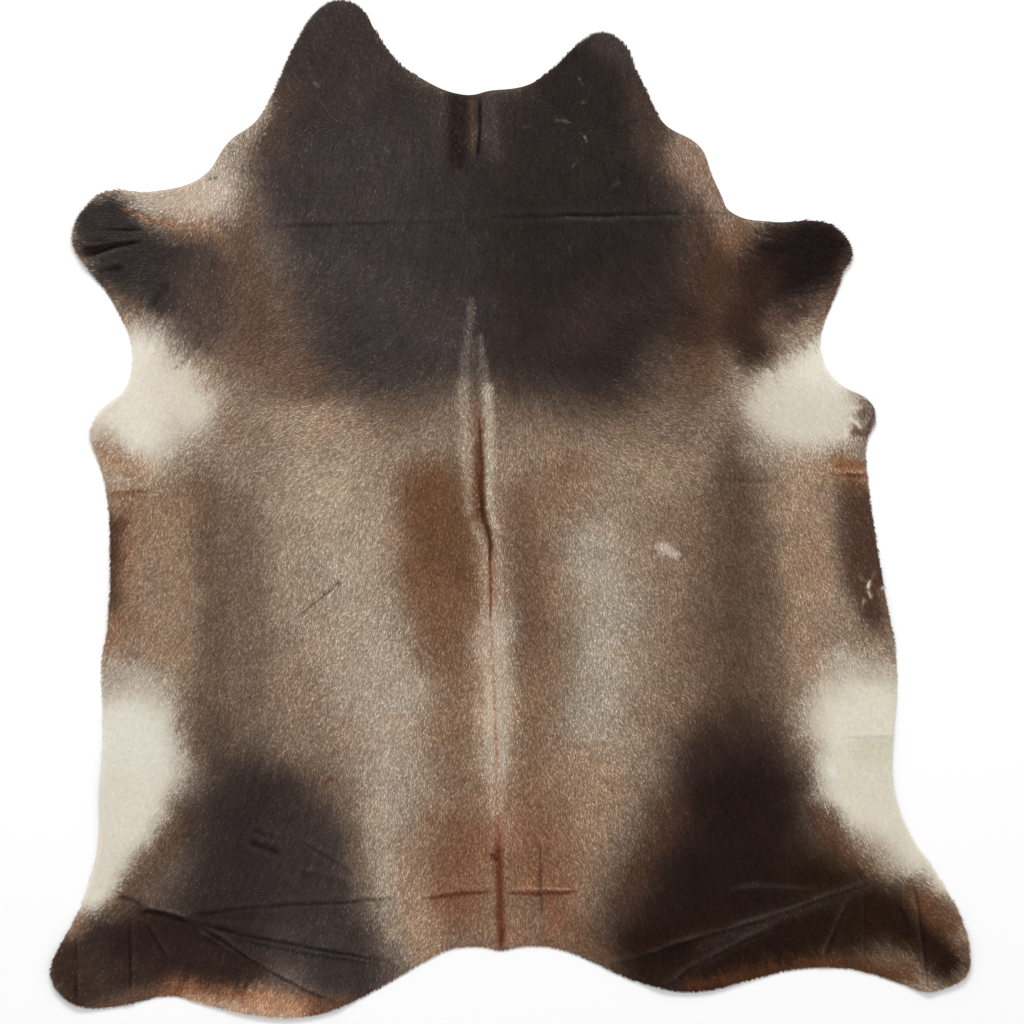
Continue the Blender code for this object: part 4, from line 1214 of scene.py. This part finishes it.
def main_lie(x, y):
    """The way in which the coat as a whole is combed, as its angle from +X."""
    outward = OUTWARD - OUTWARD_LESS * ramp(y, WITHERS_FROM, WITHERS_TO)
    way_x, way_y = outward * np.tanh((x - SPINE_X) / FLANK_AWAY), -np.ones(x.shape)
    for whorl in WHORLS:
        away = np.hypot(x - whorl.middle[0], y - whorl.middle[1]) / whorl.reach
        part = np.exp2(-away**4)
        way_x += (whorl.way[0] - way_x) * part
        way_y += (whorl.way[1] - way_y) * part
    mane = np.exp2(-((x - MANE_MIDDLE[0]) / MANE_HALF[0]) ** 4)
    mane *= np.exp2(-((y - MANE_MIDDLE[1]) / MANE_HALF[1]) ** 4)
    way_x += mane * (np.clip((PARTING_X - x) / LEAN_OVER, -1, 1) * LEAN - way_x)
    return np.arctan2(way_y, way_x)


def lie(x, y, draw):
    """The way in which each hair points: the main one, with waves and a little disorder."""
    angle = main_lie(x, y)
    for turn, lump, seed in WAVES:
        angle += turn * soft_noise(x, y, lump, seed)
    return angle + draw.normal(0.0, DISORDER, x.shape)


def streaks(x, y, kinds):
    """Noise drawn out along the way in which the coat is combed. Each kind of streak has its
    share, the size of its lumps and a seed."""
    angle = main_lie(x, y)
    total = np.zeros(x.shape)
    for share, size, seed in kinds:
        step_x, step_y = size * np.cos(angle), size * np.sin(angle)
        for step in DRAWN_OUT:
            total += share * soft_noise(x + step * step_x, y + step * step_y, size, seed)
    return total / DRAWN_OUT_SUM


print("on the left flank the hair points to", round(math.degrees(
    main_lie(np.array([-0.6]), np.array([-0.2]))[0])), "degrees from +X")

# %% [markdown]
# ## Four layers of hair
# A hide has far too many hairs to model one by one. From where the rug is looked at, what reads
# as hair is thousands of short lying tufts that catch the light a little differently. Each tuft
# here is a slim lens of two triangles: root, two points in the middle, tip. Short tufts go on
# first, painted a little darker as painted shade under the layers above, then longer and finer
# ones, so that the coat has depth where it parts.

# %% The four kinds of tuft
Tuft = namedtuple("Tuft", "name long wide rise shade salt seed")
# the shade column is painted shade: lower layers are painted darker as they lie under the others,
# upper ones a little lighter
TUFTS = (
    Tuft("undercoat", 0.0074, 0.0025, 0.0008, 0.90, 1.0, 31),
    Tuft("coat", 0.0079, 0.0020, 0.0012, 0.95, 1.05, 32),
    Tuft("top_coat", 0.0085, 0.0016, 0.0016, 1.02, 1.1, 33),
    Tuft("guard_hair", 0.0090, 0.0013, 0.0020, 1.06, 1.15, 34),
)
TUFTS_A_LAYER = 96000
LATTICE_STEP = math.sqrt(AREA / TUFTS_A_LAYER / TRIANGLE_ROW)
print("a tuft every", round(LATTICE_STEP * 1000, 1), "mm in each layer")

# %% Plant the tufts of a layer
HAIR_PAST_EDGE = 0.0020  # the farthest that a tip reaches past the outline
ROOTS_IN = 0.6 * OVERHANG  # no root is nearer to the outline
ROOT_JITTER = 0.48  # lattice steps
SHORTEST = 0.25  # share of its length that a tuft keeps when it is cut
SIZE_RANGE = (0.75, 1.25)


def plant(tuft, draw):
    """Where the tufts have their roots, which way they point, and how long they are. A tuft
    that would reach too far past the edge is cut short."""
    x, y = lattice(LATTICE_STEP, tuft.seed, ROOT_JITTER)
    kept = at(gap_grid, x, y) > ROOTS_IN
    x, y = x[kept], y[kept]
    angle = lie(x, y, draw)
    ahead = np.column_stack([np.cos(angle), np.sin(angle)])
    long = tuft.long * draw.uniform(*SIZE_RANGE, x.shape)
    gap = at(gap_grid, x, y)
    tip_gap = at(gap_grid, x + long * ahead[:, 0], y + long * ahead[:, 1])
    over = np.clip((gap + HAIR_PAST_EDGE) / np.maximum(gap - tip_gap, 1e-6), SHORTEST, 1.0)
    return x, y, ahead, np.where(tip_gap < -HAIR_PAST_EDGE, long * over, long)


# %% Shape the tufts
CURL = 0.10  # sideways, as a share of the length
MIDDLE = 0.45  # how far along the tuft its middle is
ROLL = 0.20  # one side higher than the other, as a share of the width
ROOT_RISE, MIDDLE_RISE = 0.15, 0.85  # shares of the tip's
STAND_RANGE = (-0.25, 0.15)
CREAM_CALM = 0.7  # cream hair lies this much more evenly
LOWEST = 0.0001
EDGE_SLOPE = 0.012  # nearer to the edge than this, the hair lies lower
EDGE_HEIGHT = 0.45


def tuft_points(tuft, draw, x, y, ahead, long):
    """The four corners of every tuft: root, left and right middle, tip."""
    aside = np.column_stack([-ahead[:, 1], ahead[:, 0]])
    wide = tuft.wide * draw.uniform(*SIZE_RANGE, x.shape)
    curl = draw.normal(0.0, CURL, x.shape) * long
    root = np.column_stack([x, y])
    middle = root + MIDDLE * long[:, None] * ahead + 0.5 * curl[:, None] * aside
    half = 0.5 * wide[:, None] * aside
    tip = root + long[:, None] * ahead + curl[:, None] * aside
    calm = 1.0 - CREAM_CALM * paleness(at(coat_grid, x, y))
    roll = draw.normal(0.0, ROLL, x.shape) * wide * calm
    stand = (1.0 + calm * draw.uniform(*STAND_RANGE, x.shape)) * tuft.rise
    corners = []
    for place, rise in ((root, ROOT_RISE * stand), (middle + half, MIDDLE_RISE * stand + roll),
                        (middle - half, MIDDLE_RISE * stand - roll), (tip, stand)):
        edge = ramp(at(gap_grid, place[:, 0], place[:, 1]), -HAIR_PAST_EDGE,
                    EDGE_SLOPE - HAIR_PAST_EDGE)
        base = skin_height(place[:, 0], place[:, 1]) - LEATHER * 0.5 * (1 - edge)
        height = base + np.maximum(rise, LOWEST) * (EDGE_HEIGHT + (1 - EDGE_HEIGHT) * edge)
        corners.append(np.column_stack([place, height]))
    return np.stack(corners, axis=1).reshape(-1, 3)


# %% Where each tuft takes its colour from
MINGLING = 0.0052  # hairs of two patches mingle over about this distance
STRAY = 0.0016  # and those of the mane and the tail over this
FINGERS = 0.0120  # streaks of one colour run this far into the next
FINGER_KINDS = ((1.0, 0.0065, 51), (0.6, 0.0150, 52))


def tuft_coat(draw, x, y, points):
    """The screen colour of every corner, before single hairs differ."""
    stray = draw.normal(0.0, 1.0, (2, len(x)))
    finger = FINGERS * streaks(x, y, FINGER_KINDS)
    combed = main_lie(x, y)
    colour = at(coat_grid, x + MINGLING * stray[0] + finger * np.cos(combed),
                y + MINGLING * stray[1] + finger * np.sin(combed))
    colour = add_marks(HAIR_MARKS, colour, x + STRAY * stray[0], y + STRAY * stray[1], draw=draw)
    return fine_coat(np.repeat(colour, 4, axis=0), points[:, 0], points[:, 1])


# %% How single hairs differ
SALT_EVERYWHERE = 0.10  # how much lighter or darker single hairs are
SALT = 0.29  # and how much more of it where the coat is about as bright as taupe
TAUPE, TAUPE_SPREAD = 0.45, 0.26
HAIR_RANGE = 1.7
PALE_EVEN = 0.85  # pale hair differs this much less
WARM = 0.05  # how much redder or bluer
LOCKS, LOCKS_IN_BLACK, LOCK_WARM = 0.075, 1.2, 0.06  # how much lighter or darker a streak is
LOCK_KINDS = ((1.0, 0.0055, 53), (0.7, 0.0120, 54))
BLACK = (0.24, 0.36)  # black up to the first brightness, and none from the second
TICKED = 0.15  # share of brown hairs in the black where there are most of them
TICK_LIGHT, TICK_WARM = (0.3, 0.9), 0.10
TICK_MEAN, TICK_VARIES, TICK_LUMPS = 0.4, 0.6, 0.05
# painted shade along each tuft: darker at the root, where it lies under the others, a little
# lighter at the tip
ROOT_TO_TIP = [0.76, 0.99, 0.99, 1.08]
LIGHT_TINT = (-0.16, 0.0, 0.20)  # a lighter hair is also a little cooler
WARM_TINT = (1.0, 0.0, -1.0)
HAIR_LIMITS = (0.0005, 0.95)


def salt_and_pepper(colour):
    """How strongly single hairs differ here: most in the taupe, little in cream and black."""
    spread = SALT_EVERYWHERE + SALT * np.exp(-((colour @ EYE - TAUPE) / TAUPE_SPREAD) ** 2)
    return spread * (1.0 - PALE_EVEN * paleness(colour))


def tuft_pigments(tuft, draw, x, y, colour):
    """The pigment of every corner, with each tuft a little lighter, darker, warmer or cooler, and
    with painted shade towards its root and in the lower layers.
    """
    own = np.repeat(draw.uniform(-HAIR_RANGE, HAIR_RANGE, x.shape), 4)
    own *= salt_and_pepper(colour) * tuft.salt
    warm = np.repeat(draw.uniform(-1.0, 1.0, x.shape), 4) * WARM
    often = TICKED * (TICK_MEAN + TICK_VARIES * soft_noise(x, y, TICK_LUMPS, 41))
    ticked = draw.uniform(0.0, 1.0, x.shape) < often
    darkness = 1.0 - ramp(colour.mean(axis=1), *BLACK)
    own += np.repeat(ticked * draw.uniform(*TICK_LIGHT, x.shape), 4) * darkness
    warm += np.repeat(TICK_WARM * ticked, 4)
    lock = np.repeat(streaks(x, y, LOCK_KINDS), 4)
    pale = paleness(colour)
    own += LOCKS * lock * (1.0 + LOCKS_IN_BLACK * darkness) * (1.0 - pale)
    warm += LOCK_WARM * np.maximum(lock, 0.0) * darkness
    tint = np.exp(np.outer(own, LIGHT_TINT) + np.outer(warm, WARM_TINT))
    along = tuft.shade * np.tile(ROOT_TO_TIP, len(x))
    shade = np.exp(own) * (1.0 + (along - 1.0) * (1.0 - PALE_EVEN * pale))
    return np.clip(pigment(colour) * shade[:, None] * tint, *HAIR_LIMITS)


# %% Grow the layers
TWO_TRIANGLES = ([0, 2, 1], [1, 2, 3])


def grow(tuft):
    """One whole layer of tufts as one piece."""
    draw = np.random.default_rng(tuft.seed)
    x, y, ahead, long = plant(tuft, draw)
    points = tuft_points(tuft, draw, x, y, ahead, long)
    first = 4 * np.arange(len(x))[:, None]
    faces = np.stack([first + corners for corners in TWO_TRIANGLES], axis=1).reshape(-1, 3)
    piece = new_piece(tuft.name, points, faces)
    give_colour(piece, tuft_pigments(tuft, draw, x, y, tuft_coat(draw, x, y, points)))
    give_plan_map(piece)
    piece.data.shade_smooth()
    print(f"{tuft.name}: {len(x)} tufts, {len(faces)} triangles, top {points[:, 2].max():.4f}")
    return piece


layers = [grow(tuft) for tuft in TUFTS]

# %% [markdown]
# ## Materials
# Hair is smooth and a little glossy, but lies so unevenly that the coat as a whole looks soft.
# The pigment comes from the points of the mesh. On top of it, fine noise breaks each tuft into
# single hairs, in its colour as well as in its roughness and in a faint bump.

# %% Small helpers for node trees
def new_material(name):
    """A new material, its shader, its nodes and its links."""
    material = bpy.data.materials.new(name)
    material.use_nodes = True
    nodes = material.node_tree.nodes
    print("material:", name)
    return material, nodes["Principled BSDF"], nodes, material.node_tree.links


def set_sockets(shader, **values):
    """Sets numbers or colours on the shader's own sockets, named with _ for a space."""
    for name, value in values.items():
        shader.inputs[name.replace("_", " ")].default_value = value


def noise_node(nodes, links, size, detail, seed=0.0):
    """Noise in the piece's own metres, whose lumps are about the given size."""
    place = nodes.new("ShaderNodeTexCoord")
    moved = nodes.new("ShaderNodeMapping")
    moved.inputs["Location"].default_value = (seed, seed, seed)
    noise = nodes.new("ShaderNodeTexNoise")
    noise.inputs["Scale"].default_value = 1.0 / size
    noise.inputs["Detail"].default_value = detail
    links.new(place.outputs["Object"], moved.inputs["Vector"])
    links.new(moved.outputs["Vector"], noise.inputs["Vector"])
    return noise.outputs["Fac"]


def ranged(nodes, links, value, low, high, start=0.25, end=0.75):
    """A value's run from start to end, where most noise lies, stretched to low..high."""
    node = nodes.new("ShaderNodeMapRange")
    node.inputs["From Min"].default_value = start
    node.inputs["From Max"].default_value = end
    node.inputs["To Min"].default_value = low
    node.inputs["To Max"].default_value = high
    links.new(value, node.inputs["Value"])
    return node.outputs["Result"]


def scaled_colour(nodes, links, colour, factor):
    """The colour times the factor."""
    node = nodes.new("ShaderNodeVectorMath")
    node.operation = "SCALE"
    links.new(colour, node.inputs[0])
    links.new(factor, node.inputs["Scale"])
    return node.outputs["Vector"]


def coat_colour(nodes):
    """The pigment that is stored on the points of the mesh."""
    pigments = nodes.new("ShaderNodeVertexColor")
    pigments.layer_name = "coat_colour"
    return pigments.outputs["Color"]


def bumped(nodes, links, shader, height, strength, distance):
    """Gives the shader a small relief, up to the distance deep."""
    bump = nodes.new("ShaderNodeBump")
    bump.inputs["Strength"].default_value = strength
    bump.inputs["Distance"].default_value = distance
    links.new(height, bump.inputs["Height"])
    links.new(bump.outputs["Normal"], shader.inputs["Normal"])


# %% The hair's material
SINGLE_HAIRS = 0.0012
CLUMPS = 0.011


def hair_finish(name):
    """Lying hair: the pigment, broken up by single hairs and by clumps of them."""
    material, shader, nodes, links = new_material(name)
    hairs = noise_node(nodes, links, SINGLE_HAIRS, 3.0)
    clumps = noise_node(nodes, links, CLUMPS, 2.0, seed=3.0)
    colour = scaled_colour(nodes, links, coat_colour(nodes),
                           ranged(nodes, links, hairs, 0.88, 1.12))
    colour = scaled_colour(nodes, links, colour, ranged(nodes, links, clumps, 0.94, 1.06))
    links.new(colour, shader.inputs["Base Color"])
    links.new(ranged(nodes, links, hairs, 0.50, 0.68), shader.inputs["Roughness"])
    set_sockets(shader, Specular_IOR_Level=0.10, Specular_Tint=(1.0, 0.82, 0.70, 1.0),
                Sheen_Weight=0.01, Sheen_Roughness=0.45)
    bumped(nodes, links, shader, hairs, 0.25, 0.0004)
    return material


for piece in layers:
    piece.data.materials.append(hair_finish(f"{piece.name}_finish"))

# %% [markdown]
# ## The skin's two faces
# Between the hairs the skin shows only as shade. Its underside is different: buffed to a suede
# nap, pale tan, with soft blotches and the faint branching of old blood vessels, and its cut edge
# is the same suede. All of that is noise at three sizes.

# %% The skin between the roots
ROOT_GRAIN = 0.0016


def roots_finish():
    """The upper side of the skin, in the colour of the hair above it, with painted shade."""
    material, shader, nodes, links = new_material("hair_roots")
    roots = noise_node(nodes, links, ROOT_GRAIN, 3.0)
    colour = scaled_colour(nodes, links, coat_colour(nodes),
                           ranged(nodes, links, roots, 0.78, 1.22))
    links.new(colour, shader.inputs["Base Color"])
    set_sockets(shader, Roughness=0.75, Specular_IOR_Level=0.2)
    bumped(nodes, links, shader, roots, 0.4, 0.0006)
    return material


skin.data.materials.append(roots_finish())

# %% The suede below
SUEDE = ((0.30, (0.30, 0.215, 0.135, 1)), (0.68, (0.50, 0.40, 0.285, 1)))  # where and colour
NAP = 0.0022
BLOTCHES = 0.16
VEINS = 7.0  # cells in a metre
VEIN_WIDTH = 0.05  # as a share of a cell


def suede_finish():
    """The underside and the cut edge: nap, blotches and faint veins."""
    material, shader, nodes, links = new_material("suede")
    nap = noise_node(nodes, links, NAP, 4.0)
    blotches = noise_node(nodes, links, BLOTCHES, 5.0, seed=7.0)
    tans = nodes.new("ShaderNodeValToRGB")
    for element, (position, colour) in zip(tans.color_ramp.elements, SUEDE):
        element.color = colour
        element.position = position
    links.new(blotches, tans.inputs["Fac"])
    veins = nodes.new("ShaderNodeTexVoronoi")
    veins.feature = "DISTANCE_TO_EDGE"
    veins.inputs["Scale"].default_value = VEINS
    place = nodes.new("ShaderNodeTexCoord")
    links.new(place.outputs["Object"], veins.inputs["Vector"])
    vein_shade = ranged(nodes, links, veins.outputs["Distance"], 0.88, 1.0, 0.0, VEIN_WIDTH)
    colour = scaled_colour(nodes, links, tans.outputs["Color"], vein_shade)
    colour = scaled_colour(nodes, links, colour, ranged(nodes, links, nap, 0.86, 1.12))
    links.new(colour, shader.inputs["Base Color"])
    set_sockets(shader, Roughness=0.92, Specular_IOR_Level=0.15,
                Sheen_Weight=0.25, Sheen_Roughness=0.5)
    bumped(nodes, links, shader, nap, 0.5, 0.0008)
    return material


skin.data.materials.append(suede_finish())

# %% [markdown]
# ## Hang the pieces on the root
# The skin stands for the imported solid, and the hair goes with it. Together they are one sheet of
# hide, laid on the floor: 1.99 m by 2.20 m over all, and less in area because of its outline.

# %% Ride and replace
for piece in [skin, *layers]:
    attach(piece, "root")
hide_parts("hide")
print("declared:", [piece.name for piece in [skin, *layers]])

# %% [markdown]
# ## Floor and light
# The rug lies on a plain pale floor. A pale surround fills the shade, and one broad soft light
# stands beyond the neck and high up, so every fold is bright on its upper side and dark below.

# %% Floor
FLOOR_DROP = 0.0006
FLOOR_HALF = 30.0
FLOOR_CORNERS = ((-1, -1), (1, -1), (1, 1), (-1, 1))
floor_mesh = bpy.data.meshes.new("floor")
floor_mesh.from_pydata([(FLOOR_HALF * x, FLOOR_HALF * y, -FLOOR_DROP) for x, y in FLOOR_CORNERS],
                       [], [(0, 1, 2, 3)])
floor = bpy.data.objects.new("floor", floor_mesh)
bpy.context.scene.collection.objects.link(floor)
paint, shader, _, _ = new_material("floor_paint")
set_sockets(shader, Base_Color=(0.84, 0.84, 0.84, 1), Roughness=0.8, Specular_IOR_Level=0.1)
floor_mesh.materials.append(paint)
print("floor:", 2 * FLOOR_HALF, "m wide")

# %% Light
SURROUND = 0.84
WINDOW_PLACE = Vector((-0.6, 7.0, 5.2))
WINDOW_SIZE = (5.0, 2.2)
WINDOW_POWER = 560

world = bpy.data.worlds.new("surround")
world.use_nodes = True
world.node_tree.nodes["Background"].inputs["Color"].default_value = (1, 1, 1, 1)
world.node_tree.nodes["Background"].inputs["Strength"].default_value = SURROUND
bpy.context.scene.world = world

light = bpy.data.lights.new("window", "AREA")
light.shape = "RECTANGLE"
light.size, light.size_y = WINDOW_SIZE
light.energy = WINDOW_POWER
window = bpy.data.objects.new("window", light)
window.location = WINDOW_PLACE
window.rotation_euler = (-WINDOW_PLACE).to_track_quat("-Z", "Y").to_euler()  # at the rug
bpy.context.scene.collection.objects.link(window)
print("the light stands", round(WINDOW_PLACE.length, 2), "m from the rug")

# %% [markdown]
# ## Camera
# The rug is seen from straight above, as in a shop's picture. A long lens from far away keeps
# the near and the far edge at one scale.

# %% Camera
ACROSS = 2.21184  # how much of the floor the picture shows
HEIGHT = 11.0
SENSOR = 36.0  # mm
CAMERA_X, CAMERA_Y = 0.0043, -0.0065  # the middle of the picture
lens = bpy.data.cameras.new("camera")
lens.sensor_width = SENSOR
lens.lens = SENSOR * HEIGHT / ACROSS
lens.clip_end = 60.0
camera = bpy.data.objects.new("camera", lens)
camera.location = (CAMERA_X, CAMERA_Y, HEIGHT)
bpy.context.scene.collection.objects.link(camera)
bpy.context.scene.camera = camera
bpy.context.scene.view_settings.view_transform = "Standard"
print("lens:", round(lens.lens, 1), "mm")
